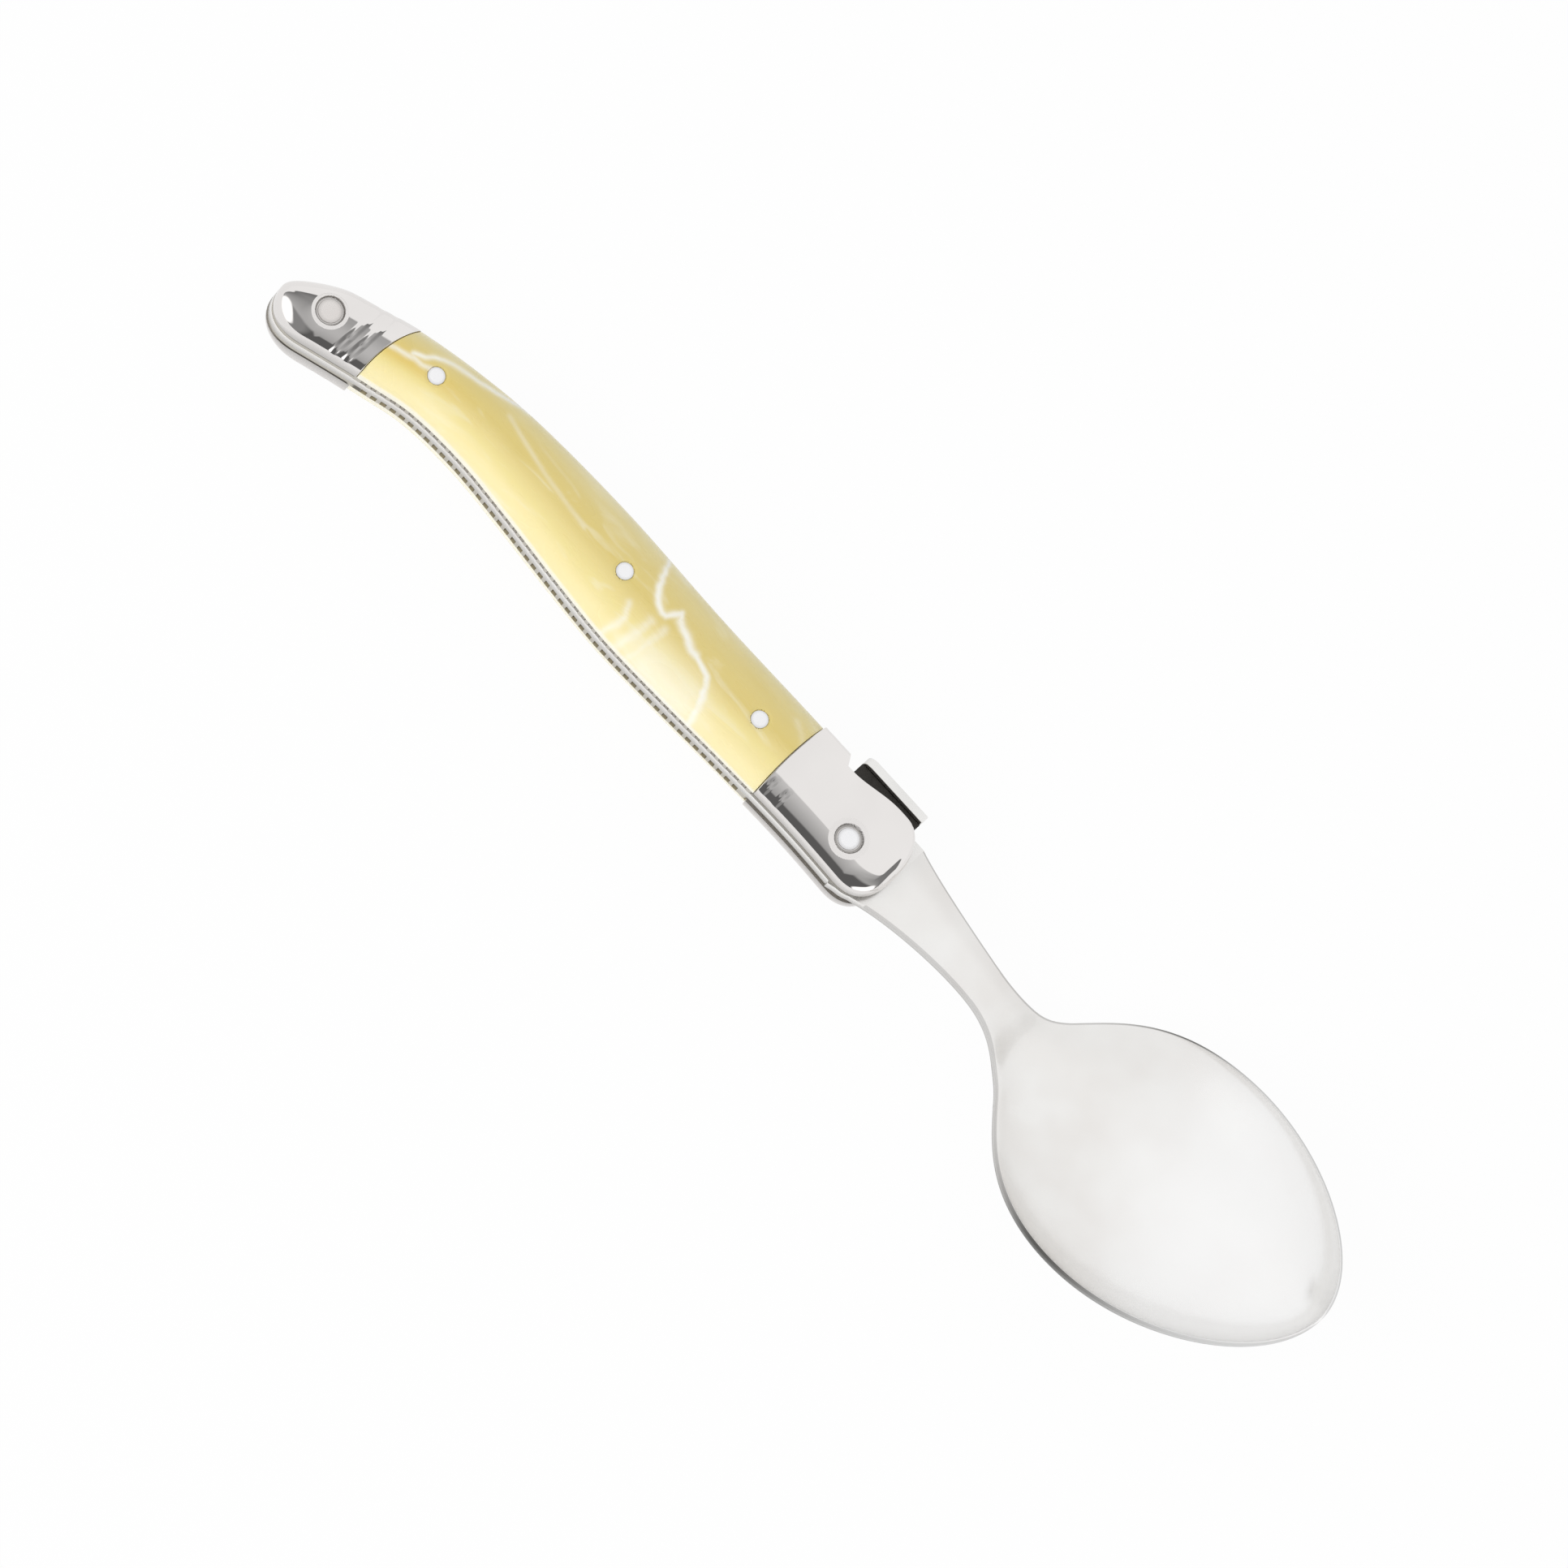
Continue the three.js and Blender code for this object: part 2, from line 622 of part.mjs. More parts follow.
function scale() {
  const stations = [];
  for (let k = 0; k <= HANDLE_STEPS / 2; k++) {
    const [from, to] = [REAR_JOINT_FROM_END - OVERRUN, FRONT_JOINT + OVERRUN];
    stations.push(THREE.MathUtils.lerp(from, to, (k * 2) / HANDLE_STEPS));
  }
  let body = loft(
    stations.map((x) => {
      const { back, belly } = edgesAt(x);
      const shoulder = ((back - belly) / 2) * SCALE_SHOULDER_SHARE;
      const wall = scaleWallAt(x);
      return crownSection(x, wall + SCALE_CROWN, wall, wall, shoulder);
    }),
  );
  body = body.intersect(pastRearJoint(JOINT_GAP)).subtract(pastFrontJoint(JOINT_GAP));
  for (const [x, y] of pinPlaces) {
    body = body.subtract(bar(PIN_RADIUS + PIN_CLEARANCE, 0, pinTop(x) + OVERRUN, x, y));
  }
  return body;
}

// Places of the rivets and pins
const frontRivetPlace = [
  HANDLE_LENGTH - FRONT_RIVET_FROM_END,
  FRONT_RIVET_ACROSS_SHARE * HANDLE_WIDTH,
];
const rearRivetPlace = [REAR_RIVET_FROM_END, REAR_RIVET_ACROSS_SHARE * HANDLE_WIDTH];
const pinPlaces = PIN_PLACE_SHARES.map((share, k) => [
  share * HANDLE_LENGTH,
  PIN_ACROSS_SHARES[k] * HANDLE_WIDTH,
]);

// Holes of every rivet and pin through the layers
function drilled(body) {
  const reach = LINER_FACE + OVERRUN;
  let result = body;
  for (const [x, y] of [frontRivetPlace, rearRivetPlace]) {
    result = result.subtract(bar(RIVET_SHANK_RADIUS + RIVET_CLEARANCE, -reach, reach, x, y));
  }
  for (const [x, y] of pinPlaces) {
    result = result.subtract(bar(PIN_RADIUS + PIN_CLEARANCE, -reach, reach, x, y));
  }
  return result;
}

function stampedPlate() {
  return drilled(tang().subtract(seatCut())).add(bowlAndNeck());
}

// Liner: the outline of the handle with the setback under the bolsters and the belly's notches
function setbackAt(x) {
  const ramp = REAR_JOINT_FROM_END - SETBACK_RAMP;
  const rear = 1 - THREE.MathUtils.smoothstep(x, ramp, REAR_JOINT_FROM_END);
  const front = THREE.MathUtils.smoothstep(x, FRONT_JOINT, FRONT_JOINT + SETBACK_RAMP);
  return LINER_SETBACK * (rear + front);
}

function linerSection(x, notch) {
  const setback = setbackAt(x);
  const middle = HANDLE_LENGTH / 2;
  const outline = middle + ((x - middle) * middle) / (middle - setback);
  const last = HANDLE_LENGTH - LAST_STATION_SHARE * FRONT_ROUND_LENGTH;
  const { back, belly } = edgesAt(Math.min(outline, last));
  const inset = Math.min(setback, ((back - belly) / 2) * LEAST_LAND_SHARE);
  return { x, belly: belly + inset + notch, back: back - inset };
}

function liner(stagger) {
  const firstNotch = REAR_JOINT_FROM_END + NOTCH_PITCH;
  const lastNotch = FRONT_JOINT - NOTCH_PITCH / 2;
  const plain = [
    ...handleStations.map((x) =>
      THREE.MathUtils.mapLinear(x, 0, HANDLE_LENGTH, LINER_SETBACK, HANDLE_LENGTH - LINER_SETBACK),
    ),
    REAR_JOINT_FROM_END - SETBACK_RAMP,
    REAR_JOINT_FROM_END,
    FRONT_JOINT,
    FRONT_JOINT + SETBACK_RAMP,
  ].sort((a, b) => a - b);
  const before = plain.filter((x) => x < firstNotch - NOTCH_WIDTH);
  const after = plain.filter((x) => x > lastNotch + NOTCH_WIDTH / 2);
  const sections = before.map((x) => linerSection(x, 0));
  for (let x = firstNotch + stagger * NOTCH_PITCH; x < lastNotch; x += NOTCH_PITCH) {
    for (const [along, up] of NOTCH_PROFILE_SHARES) {
      sections.push(linerSection(x + along * NOTCH_WIDTH, up * NOTCH_DEPTH));
    }
  }
  sections.push(...after.map((x) => linerSection(x, 0)));
  return drilled(slab(sections, PLATE_FACE, LINER_FACE).subtract(seatCut()));
}

// Rivet or pin: a shank with the same head at both ends, turned on a lathe
function turned(shank, head, under, rim, dome, [x, y]) {
  const upper = [
    [0, rim + dome],
    [head / 2, rim + dome * DOME_SHOULDER_SHARE],
    [head, rim],
  ];
  if (head > shank) upper.push([head, under], [shank, under]);
  const lower = upper.map(([radius, height]) => [radius, -height]);
  const profile = [...lower, ...upper.reverse()].map(([r, h]) => new THREE.Vector2(r, h));
  const lathe = new THREE.LatheGeometry(profile, ROUND_SIDES);
  return solid(lathe.rotateX(Math.PI / 2).translate(x, y, 0));
}

function bolsterRivet(plateau, head, place) {
  const under = plateau - RING_DEPTH;
  return turned(
    RIVET_SHANK_RADIUS,
    head,
    under,
    under + RIVET_RIM_HEIGHT,
    RIVET_DOME_HEIGHT,
    place,
  );
}

function pinTop(x) {
  return LINER_FACE + scaleWallAt(x) + SCALE_CROWN;
}

function scalePin([x, y]) {
  return turned(PIN_RADIUS, PIN_RADIUS, 0, pinTop(x) - PIN_DOME_HEIGHT, PIN_DOME_HEIGHT, [x, y]);
}

// Fly: a bare plate on a block that sits in the cut of the bolsters
const flyRear = HANDLE_LENGTH - FLY_FROM_END;
const flyFront = flyRear + FLY_LENGTH;
function flyPlate() {
  const [half, radius] = [FLY_WIDTH / 2, FLY_CORNER_RADIUS];
  const shape = new THREE.Shape();
  shape.moveTo(flyRear + radius, -half).lineTo(flyFront, -half).lineTo(flyFront, half);
  shape.lineTo(flyRear + radius, half);
  shape.absarc(flyRear + radius, half - radius, radius, Math.PI / 2, Math.PI);
  shape.absarc(flyRear + radius, radius - half, radius, Math.PI, (Math.PI * 3) / 2);
  const options = { depth: FLY_THICKNESS, bevelEnabled: false, curveSegments: ROUND_STEPS };
  const body = new THREE.ExtrudeGeometry(shape, options).rotateX(Math.PI / 2);
  return solid(body.translate(0, FLY_TOP, 0));
}

function flyBlock() {
  const top = FLY_TOP - FLY_THICKNESS;
  const outline = [
    ...seatLine(flyRear, flyFront, FLY_SEAT_GAP),
    new THREE.Vector2(flyFront, top),
    new THREE.Vector2(flyRear, top),
  ];
  return plate(outline, -LINER_FACE, LINER_FACE);
}

// Materials
const finish = (color, metalness, roughness) =>
  new THREE.MeshStandardMaterial({ color, metalness, roughness });
const satinSteel = finish(0xe2e3df, 0.9, 0.35);
const polishedSteel = finish(0xd8d6d4, 1, 0.15);
const linerSteel = finish(0x8f8d86, 0.9, 0.45);
const rivetSteel = finish(0xdfe1e6, 1, 0.2);
const darkSteel = finish(0x24211e, 0.6, 0.5);
const paleHorn = finish(0xeadd9c, 0, 0.25);

// The assembly. The far layers are the near ones mirrored in the plate.
const spoon = new THREE.Group();
const mirrored = (mesh) => {
  mesh.scale.z = -1;
  return mesh;
};
const frontBody = frontBolster();
const rearBody = rearBolster();
const scaleBody = scale();
spoon.add(
  meshOf("spoon_bowl_and_tang", stampedPlate(), satinSteel),
  meshOf("liner_near", liner(0), linerSteel),
  mirrored(meshOf("liner_far", liner(NOTCH_STAGGER_SHARE), linerSteel)),
  meshOf("scale_near", scaleBody, paleHorn),
  mirrored(meshOf("scale_far", scaleBody, paleHorn)),
  meshOf("front_bolster_near", frontBody, polishedSteel),
  mirrored(meshOf("front_bolster_far", frontBody, polishedSteel)),
  meshOf("rear_bolster_near", rearBody, polishedSteel),
  mirrored(meshOf("rear_bolster_far", rearBody, polishedSteel)),
  meshOf("front_rivet", bolsterRivet(FRONT_PLATEAU, FRONT_RIVET_RADIUS, frontRivetPlace), rivetSteel),
  meshOf("rear_rivet", bolsterRivet(REAR_PLATEAU, REAR_RIVET_RADIUS, rearRivetPlace), rivetSteel),
  meshOf("scale_pin_rear", scalePin(pinPlaces[0]), rivetSteel),
  meshOf("scale_pin_middle", scalePin(pinPlaces[1]), rivetSteel),
  meshOf("scale_pin_front", scalePin(pinPlaces[2]), rivetSteel),
  meshOf("fly_plate", flyPlate(), polishedSteel),
  meshOf("fly_block", flyBlock(), darkSteel),
);

// The frame stands on the lowest point of the bowl, in the middle of the spoon's outline
const bounds = new THREE.Box3().setFromObject(spoon);
const middle = bounds.getCenter(new THREE.Vector3());
spoon.position.set(-middle.x, -middle.y, -bounds.min.z);

export default spoon;
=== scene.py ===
"""Coffee spoon with a riveted handle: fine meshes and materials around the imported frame.

Shapes are worked out in millimetres in the bench frame of the part's source: X is 0 at the rear
end of the handle, Y is 0 on the middle of the bowl and Z is 0 in the middle of the plate.
"""
import math

import bmesh
import bpy
import numpy as np
from mathutils import Matrix, Vector


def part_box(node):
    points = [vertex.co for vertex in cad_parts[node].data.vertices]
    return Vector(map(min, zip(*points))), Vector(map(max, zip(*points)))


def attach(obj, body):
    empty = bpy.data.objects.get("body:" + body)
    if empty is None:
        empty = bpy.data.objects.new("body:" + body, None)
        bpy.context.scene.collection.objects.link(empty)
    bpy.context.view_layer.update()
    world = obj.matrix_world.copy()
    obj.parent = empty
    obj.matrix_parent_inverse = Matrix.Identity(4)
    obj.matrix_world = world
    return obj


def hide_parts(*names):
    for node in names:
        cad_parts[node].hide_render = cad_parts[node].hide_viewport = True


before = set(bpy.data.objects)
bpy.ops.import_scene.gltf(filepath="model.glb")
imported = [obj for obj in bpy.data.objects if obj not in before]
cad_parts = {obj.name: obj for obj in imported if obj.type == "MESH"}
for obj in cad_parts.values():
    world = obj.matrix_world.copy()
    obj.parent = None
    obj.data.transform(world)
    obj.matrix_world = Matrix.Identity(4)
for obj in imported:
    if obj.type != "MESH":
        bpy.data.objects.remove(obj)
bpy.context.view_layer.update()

MM = 0.001

# Sizes of the part, in millimetres, as in its source, but for the notches, grooves and domes, the
# rear setback, and a bowl a hair smaller, which keeps the fine mesh inside the solid.
HANDLE_LENGTH, NECK_LENGTH, BOWL_LENGTH = 93, 16, 51
PLATE_THICKNESS, RIM_THICKNESS, LINER_THICKNESS = 1.3, 1.1, 1
HANDLE_WIDTH = 11.1
BACK_EDGE = [
    (0, -0.3), (0.0925, -0.024), (0.1505, 0.147), (0.2312, 0.306), (0.3269, 0.421),
    (0.4731, 0.475), (0.6452, 0.454), (0.8065, 0.468), (1, 0.464),
]
BELLY_EDGE = [
    (0, -1.02), (0.0978, -0.752), (0.1548, -0.608), (0.2151, -0.478), (0.2935, -0.44),
    (0.3763, -0.48), (0.4731, -0.55), (0.5645, -0.597), (0.6667, -0.577), (0.7742, -0.538),
    (0.8817, -0.518), (1, -0.55),
]
REAR_ROUND, FRONT_ROUND = 6, 4.6
REAR_ROUND_CENTRE = -0.56 * HANDLE_WIDTH
FRONT_ROUND_CENTRE = -0.135 * HANDLE_WIDTH
REAR_FULLNESS, FRONT_FULLNESS = 1.9, 2.3
NECK_ROOT, NECK_WAIST, BOWL_WIDTH = 9.64, 5.1, 31.84
NECK_CURVE = [(0, 1), (0.273, 0.42), (0.7725, 0), (1, 0)]
BOWL_CURVE = [
    (0, 0), (0.1287, 0), (0.1756, 0.2619), (0.1934, 0.3401), (0.2529, 0.6008), (0.3346, 1),
    (0.5426, 1),
]
NOSE_CURVE = [(0.5426, 1), (0.7703, 1), (1, 0.4971), (1, 0)]
HEEL_DROP, TIP_RISE = 5.64, 4.91
HEEL_CURVE = [(0, 0), (0.315, 0), (0.304, -1), (0.358, -1)]
RISE_CURVE = [(0.358, 0), (0.418, 0), (0.793, 0.4446), (1, 1)]
BOWL_DEPTH, RIM_LAND, RIM_EDGE = 6.593, 0.3, 0.25
HOLLOW_START_SHARE = 0.23
DEPTH_CURVE = [(0, 0), (0.207, 0), (0.377, 1), (0.6215, 1), (0.83, 1), (1, 0.75), (1, 0)]
HOLLOW_FULLNESS, HOLLOW_STEEPNESS, HEEL_STEEPNESS = 2.2, 0.7, 1.5
SCALE_REAR_WALL, SCALE_FRONT_WALL, SCALE_CROWN, SCALE_SHOULDER = 0.8, 0.2, 2.45, 0.85
REAR_JOINT, REAR_JOINT_RADIUS = 12.67, 17
REAR_JOINT_Y = -0.437 * HANDLE_WIDTH
FRONT_JOINT, FRONT_JOINT_RADIUS = HANDLE_LENGTH - 17.65, 40
FRONT_JOINT_Y = -0.036 * HANDLE_WIDTH
JOINT_GAP, JOINT_BEVEL = 0.08, 0.09
FRONT_WALL, FRONT_CROWN, FRONT_SHOULDER, FRONT_END_SHOULDER = 1.3, 1.3, 2.88, 1.4
# Places, width and depth of grooves, and how far they fade on the flat top
FRONT_GROOVES, FRONT_FADE = ([FRONT_JOINT + 0.95, FRONT_JOINT + 2.85], 1.0, 0.1), 1
REAR_BELLY_WALL, REAR_BACK_WALL, REAR_NOSE_WALL = 2.15, 1.1, 0.2
REAR_WALL_RUN = (1, 7)
REAR_HEIGHT, REAR_SHOULDER, REAR_NOSE = 3.25, 0.95, 5.2
REAR_GROOVES, REAR_FADE = ([REAR_JOINT - 3.4, REAR_JOINT - 1.85], 1.15, 0.24), 0.7
LINER_SETBACK, REAR_SETBACK, SETBACK_RAMP = 0.28, 0.1, 0.3
NOTCH_PITCH, NOTCH_WIDTH = 1.21, 0.72
NEAR_NOTCH_DEPTH, FAR_NOTCH_DEPTH = 0.3, 0.42
FLY_LENGTH, FLY_WIDTH, FLY_THICKNESS, FLY_CORNER = 9.2, 5, 1.05, 1.2
FLY_TOP = 0.6423 * HANDLE_WIDTH
FLY_REAR = HANDLE_LENGTH - 11.6
FLY_BEVEL, BLOCK_BEVEL, BLOCK_GAP = 0.12, 0.1, 0.05
SEAT_REAR = HANDLE_LENGTH - 12.5
SEAT_REAR_Y, SEAT_FRONT_Y = 0.326 * HANDLE_WIDTH, 0.434 * HANDLE_WIDTH
SEAT_RISE_START, SEAT_RISE_LENGTH = HANDLE_LENGTH - 11.8, 6.9
SEAT_STEP, SEAT_STEP_HEIGHT = 0.8, 1.5

PLATE_FACE = PLATE_THICKNESS / 2
LINER_FACE = PLATE_FACE + LINER_THICKNESS
FRONT_PLATEAU = LINER_FACE + FRONT_WALL + FRONT_CROWN
REAR_PLATEAU = LINER_FACE + REAR_HEIGHT
TIP = HANDLE_LENGTH + NECK_LENGTH + BOWL_LENGTH
BOWL_START = HANDLE_LENGTH + NECK_LENGTH
BOWL_MIDDLE = BOWL_START + BOWL_LENGTH / 2
FRONT_LENGTH = NECK_LENGTH + BOWL_LENGTH
HOLLOW_START = HANDLE_LENGTH + HOLLOW_START_SHARE * FRONT_LENGTH
HOLLOW_LENGTH = TIP - RIM_LAND - HOLLOW_START

# Rivets of the bolsters, and pins of the scales
FRONT_RIVET = (HANDLE_LENGTH - 6.6, -0.188 * HANDLE_WIDTH)
REAR_RIVET = (5.7, -0.482 * HANDLE_WIDTH)
# Radii of the head, the sunk ring and the collar
FRONT_SEAT, REAR_SEAT = (1.28, 1.7, 2.3), (1.4, 1.7, 2.05)
RING_DEPTH, HEAD_HEIGHT, SHANK = 0.3, 0.24, 0.9
PINS = [
    (0.2011 * HANDLE_LENGTH, -0.12 * HANDLE_WIDTH),
    (0.5194 * HANDLE_LENGTH, -0.036 * HANDLE_WIDTH),
    (0.7548 * HANDLE_LENGTH, -0.036 * HANDLE_WIDTH),
]
PIN_RADIUS = 1.06
HEAD_EDGE, RIVET_DOME, PIN_DOME = 0.14, 0.08, 0.05

# The front rivet stands upright through the middle of the plate, which gives the bench frame its
# place
rivet_low, rivet_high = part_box("front_rivet")
rivet_centre = (rivet_low + rivet_high) / 2
BENCH = np.array(rivet_centre) / MM - np.array([FRONT_RIVET[0], FRONT_RIVET[1], 0])


# ---- curves
def chain(shares, start, length, base, height, steps=160):
    """Points of a chain of cubic curves, as shares of two lengths."""
    knots = np.array([(start + a * length, base + b * height) for a, b in shares], float)
    t = np.linspace(0, 1, steps + 1)[:, None]
    u = 1 - t
    parts = []
    for k in range(0, len(knots) - 1, 3):
        a, b, c, d = knots[k:k + 4]
        parts.append(u ** 3 * a + 3 * u ** 2 * t * b + 3 * u * t * t * c + t ** 3 * d)
    return np.vstack([parts[0]] + [p[1:] for p in parts[1:]])


def spline(shares, steps=60):
    """Points of a smooth line through knots given as shares of the handle."""
    p = np.array(shares, float) * [HANDLE_LENGTH, HANDLE_WIDTH]
    last = len(p) - 1
    t = np.linspace(0, last, last * steps + 1)
    i = np.minimum(t.astype(int), last - 1)
    w = (t - i)[:, None]
    before, a, b, after = p[np.maximum(i - 1, 0)], p[i], p[i + 1], p[np.minimum(i + 2, last)]
    u, v = (b - before) / 2, (after - a) / 2
    return (2 * a - 2 * b + u + v) * w ** 3 + (3 * b - 3 * a - 2 * u - v) * w ** 2 + u * w + a


def at(line, x):
    return np.interp(x, line[:, 0], line[:, 1])


def smooth(x, low, high):
    t = np.clip((x - low) / (high - low), 0, 1)
    return t * t * (3 - 2 * t)


def bell(x, place, reach):
    """1 at a place, falling off softly over the reach."""
    return np.exp(-((x - place) / reach) ** 2)


def sloped(pair, share):
    """The first number of a pair, and as much of the second as the share says."""
    return pair[0] + pair[1] * share


def roundness(distance, length, fullness):
    left = np.clip(1 - distance / length, 0, 1)
    return (1 - left ** fullness) ** (1 / fullness)


def quarter(distance, length):
    return roundness(distance, length, 2)


back_line, belly_line = spline(BACK_EDGE), spline(BELLY_EDGE)
half_line = np.vstack([
    chain(NECK_CURVE, HANDLE_LENGTH, NECK_LENGTH, NECK_WAIST / 2, (NECK_ROOT - NECK_WAIST) / 2),
    chain(BOWL_CURVE, BOWL_START, BOWL_LENGTH, NECK_WAIST / 2, (BOWL_WIDTH - NECK_WAIST) / 2)[1:],
    chain(NOSE_CURVE, BOWL_START, BOWL_LENGTH, 0, BOWL_WIDTH / 2)[1:],
])
along = half_line[2:] - half_line[:-2]
along /= np.hypot(along[:, 0], along[:, 1])[:, None]
hollow_line = half_line[1:-1] + np.column_stack([along[:, 1], -along[:, 0]]) * RIM_LAND
hollow_line = np.vstack([hollow_line, [TIP - RIM_LAND, 0]])
rim_line = np.vstack([
    chain(HEEL_CURVE, HANDLE_LENGTH, FRONT_LENGTH, PLATE_FACE, HEEL_DROP),
    chain(RISE_CURVE, HANDLE_LENGTH, FRONT_LENGTH, PLATE_FACE - HEEL_DROP,
          HEEL_DROP + TIP_RISE)[1:],
])
depth_line = chain(DEPTH_CURVE, HOLLOW_START, HOLLOW_LENGTH, 0, BOWL_DEPTH)


def edges_at(x):
    """Belly and back of the handle, drawn in towards both rounded ends."""
    rear = roundness(x, REAR_ROUND, REAR_FULLNESS)
    front = roundness(HANDLE_LENGTH - x, FRONT_ROUND, FRONT_FULLNESS)
    centre = np.where(rear < 1, REAR_ROUND_CENTRE, FRONT_ROUND_CENTRE)
    full = np.minimum(rear, front)
    belly, back = at(belly_line, x), at(back_line, x)
    return centre + (belly - centre) * full, centre + (back - centre) * full


def seat_at(x):
    """Height of the fly's seat across the handle, with the sloping step at its rear."""
    rise = smooth(x, SEAT_RISE_START, SEAT_RISE_START + SEAT_RISE_LENGTH)
    seat = SEAT_REAR_Y + (SEAT_FRONT_Y - SEAT_REAR_Y) * rise
    step = SEAT_REAR_Y + SEAT_STEP_HEIGHT * (SEAT_REAR - x) / SEAT_STEP
    seat = np.where(x < SEAT_REAR, step, seat)
    return np.where(x < SEAT_REAR - SEAT_STEP, HANDLE_WIDTH, seat)


# ---- meshes
SHARP_ANGLE = math.radians(35)


def linked(name, data):
    made = bpy.data.objects.new(name, data)
    bpy.context.scene.collection.objects.link(made)
    return made


def piece(name, points, faces, nodes, slot, material, mirror=False):
    """A mesh object made of bench points, which stands for CAD nodes and rides with the spoon."""
    placed = np.array(points, float)
    if mirror:
        placed = placed * [1, 1, -1]
    mesh = bpy.data.meshes.new(name)
    mesh.from_pydata(((placed + BENCH) * MM).tolist(), [], faces)
    shape = bmesh.new()
    shape.from_mesh(mesh)
    bmesh.ops.recalc_face_normals(shape, faces=shape.faces)
    shape.to_mesh(mesh)
    shape.free()
    mesh.shade_smooth()
    mesh.set_sharp_from_angle(angle=SHARP_ANGLE)
    mesh.materials.append(material)
    made = linked(name, mesh)
    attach(made, "root")
    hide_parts(*nodes)
    return made


def shade(made, title, values):
    """Gives each point of a piece a value that its material reads."""
    data = made.data.attributes.new(title, "FLOAT", "POINT").data
    data.foreach_set("value", np.asarray(values, float).ravel())


def closed_grid(count, size, first=0):
    """Point numbers of closed rings, and the quads between the rings."""
    index = first + np.arange(count * size).reshape(count, size)
    after = np.roll(index, -1, axis=1)
    quads = np.stack([index[:-1], after[:-1], after[1:], index[1:]], axis=-1).reshape(-1, 4)
    return index, [tuple(q) for q in quads.tolist()]


def tube(rings):
    """Points and faces of closed rings (stations, points, 3) with flat ends."""
    index, faces = closed_grid(*rings.shape[:2])
    faces += [tuple(index[0].tolist()), tuple(index[-1, ::-1].tolist())]
    return rings.reshape(-1, 3), faces


def crowned(top, floor):
    """A body under a grid of top points (stations, across, 3), down to a flat floor."""
    bottom = top[:, ::-1].copy()
    bottom[..., 2] = floor
    rings = np.concatenate([top, bottom], axis=1)
    index, faces = closed_grid(*rings.shape[:2])
    size = rings.shape[1]
    for row in (index[0].tolist(), index[-1].tolist()):
        for k in range(size // 2 - 1):
            faces.append((row[k], row[k + 1], row[size - 2 - k], row[size - 1 - k]))
    return rings.reshape(-1, 3), faces


def turned(profile, place, sides=64):
    """A body turned about an upright axis from (radius, height) pairs that begin and end on it."""
    inner = np.array(profile[1:-1], float)
    turn = np.arange(sides) * 2 * math.pi / sides
    rings = np.stack([
        place[0] + np.outer(inner[:, 0], np.cos(turn)),
        place[1] + np.outer(inner[:, 0], np.sin(turn)),
        np.repeat(inner[:, 1][:, None], sides, axis=1),
    ], axis=-1)
    points = [(*place, profile[0][1]), *rings.reshape(-1, 3).tolist(), (*place, profile[-1][1])]
    index, faces = closed_grid(len(inner), sides, first=1)
    after = np.roll(index, -1, axis=1)
    last = len(points) - 1
    for k in range(sides):
        faces.append((0, int(index[0, k]), int(after[0, k])))
        faces.append((last, int(after[-1, k]), int(index[-1, k])))
    return points, faces


# Stations: places along the spoon. Rounded values that fall together are one station.
SPACED_DIGITS, LINER_DIGITS, TOP_DIGITS = 5, 4, 3
NEAR_DOUBLE, END_ANGLE = 0.004, 0.063
BEVEL_STATIONS = np.array([0, 0.02, 0.045, 0.07, 0.1])
FRONT_ROUND_START = 88


def stations(parts, runs, digits=None):
    """Sorted stations of arrays and of (start, end, spacing) runs."""
    together = np.concatenate([*parts, *[np.arange(*run) for run in runs]])
    return np.unique(together if digits is None else np.round(together, digits))


def spaced(start, end, spacing):
    """Stations from start to end, with the end and without near doubles."""
    made = stations([[end]], [(start, end, spacing)], SPACED_DIGITS)
    return made[np.concatenate([[True], np.diff(made) > NEAR_DOUBLE])]


def seat_step(spacing):
    return spaced(SEAT_REAR - SEAT_STEP, SEAT_REAR, spacing)


def round_end(length, count):
    """Distances that gather at a rounded end, from a hair beside it."""
    return (1 - np.cos(np.linspace(END_ANGLE, math.pi / 2, count))) * length


def near(place, reach, spacing):
    return place - reach, place + reach, spacing


# ---- materials
NOISE_RANGE = (0.3, 0.7)


def new_material(name):
    material = bpy.data.materials.new(name)
    material.use_nodes = True
    return material, material.node_tree, material.node_tree.nodes["Principled BSDF"]


def feed(tree, node, inputs):
    for key, value in inputs.items():
        if isinstance(value, bpy.types.NodeSocket):
            tree.links.new(value, node.inputs[key])
        else:
            node.inputs[key].default_value = value
    return node


def add(tree, kind, settings=None, inputs=None):
    node = tree.nodes.new(kind)
    for key, value in (settings or {}).items():
        setattr(node, key, value)
    return feed(tree, node, inputs or {})


def maths(tree, operation, *values):
    inputs = dict(enumerate(values))
    return add(tree, "ShaderNodeMath", {"operation": operation}, inputs).outputs[0]


def noise(tree, scale, stretch=(1, 1, 1), detail=3, twist=0.0):
    """Noise over the object's own coordinates; scale is in patches per millimetre."""
    place = add(tree, "ShaderNodeTexCoord")
    mapped = add(tree, "ShaderNodeMapping", None, {
        "Vector": place.outputs["Object"],
        "Scale": tuple(scale / MM * s for s in stretch),
    })
    made = add(tree, "ShaderNodeTexNoise", None, {
        "Vector": mapped.outputs["Vector"], "Scale": 1.0, "Detail": detail, "Roughness": 0.5,
        "Distortion": twist,
    })
    return made.outputs["Fac"]


def spread(tree, value, low, high, to_low, to_high, curve="LINEAR"):
    made = add(tree, "ShaderNodeMapRange", {"interpolation_type": curve}, {
        "Value": value, "From Min": low, "From Max": high, "To Min": to_low, "To Max": to_high,
    })
    return made.outputs["Result"]


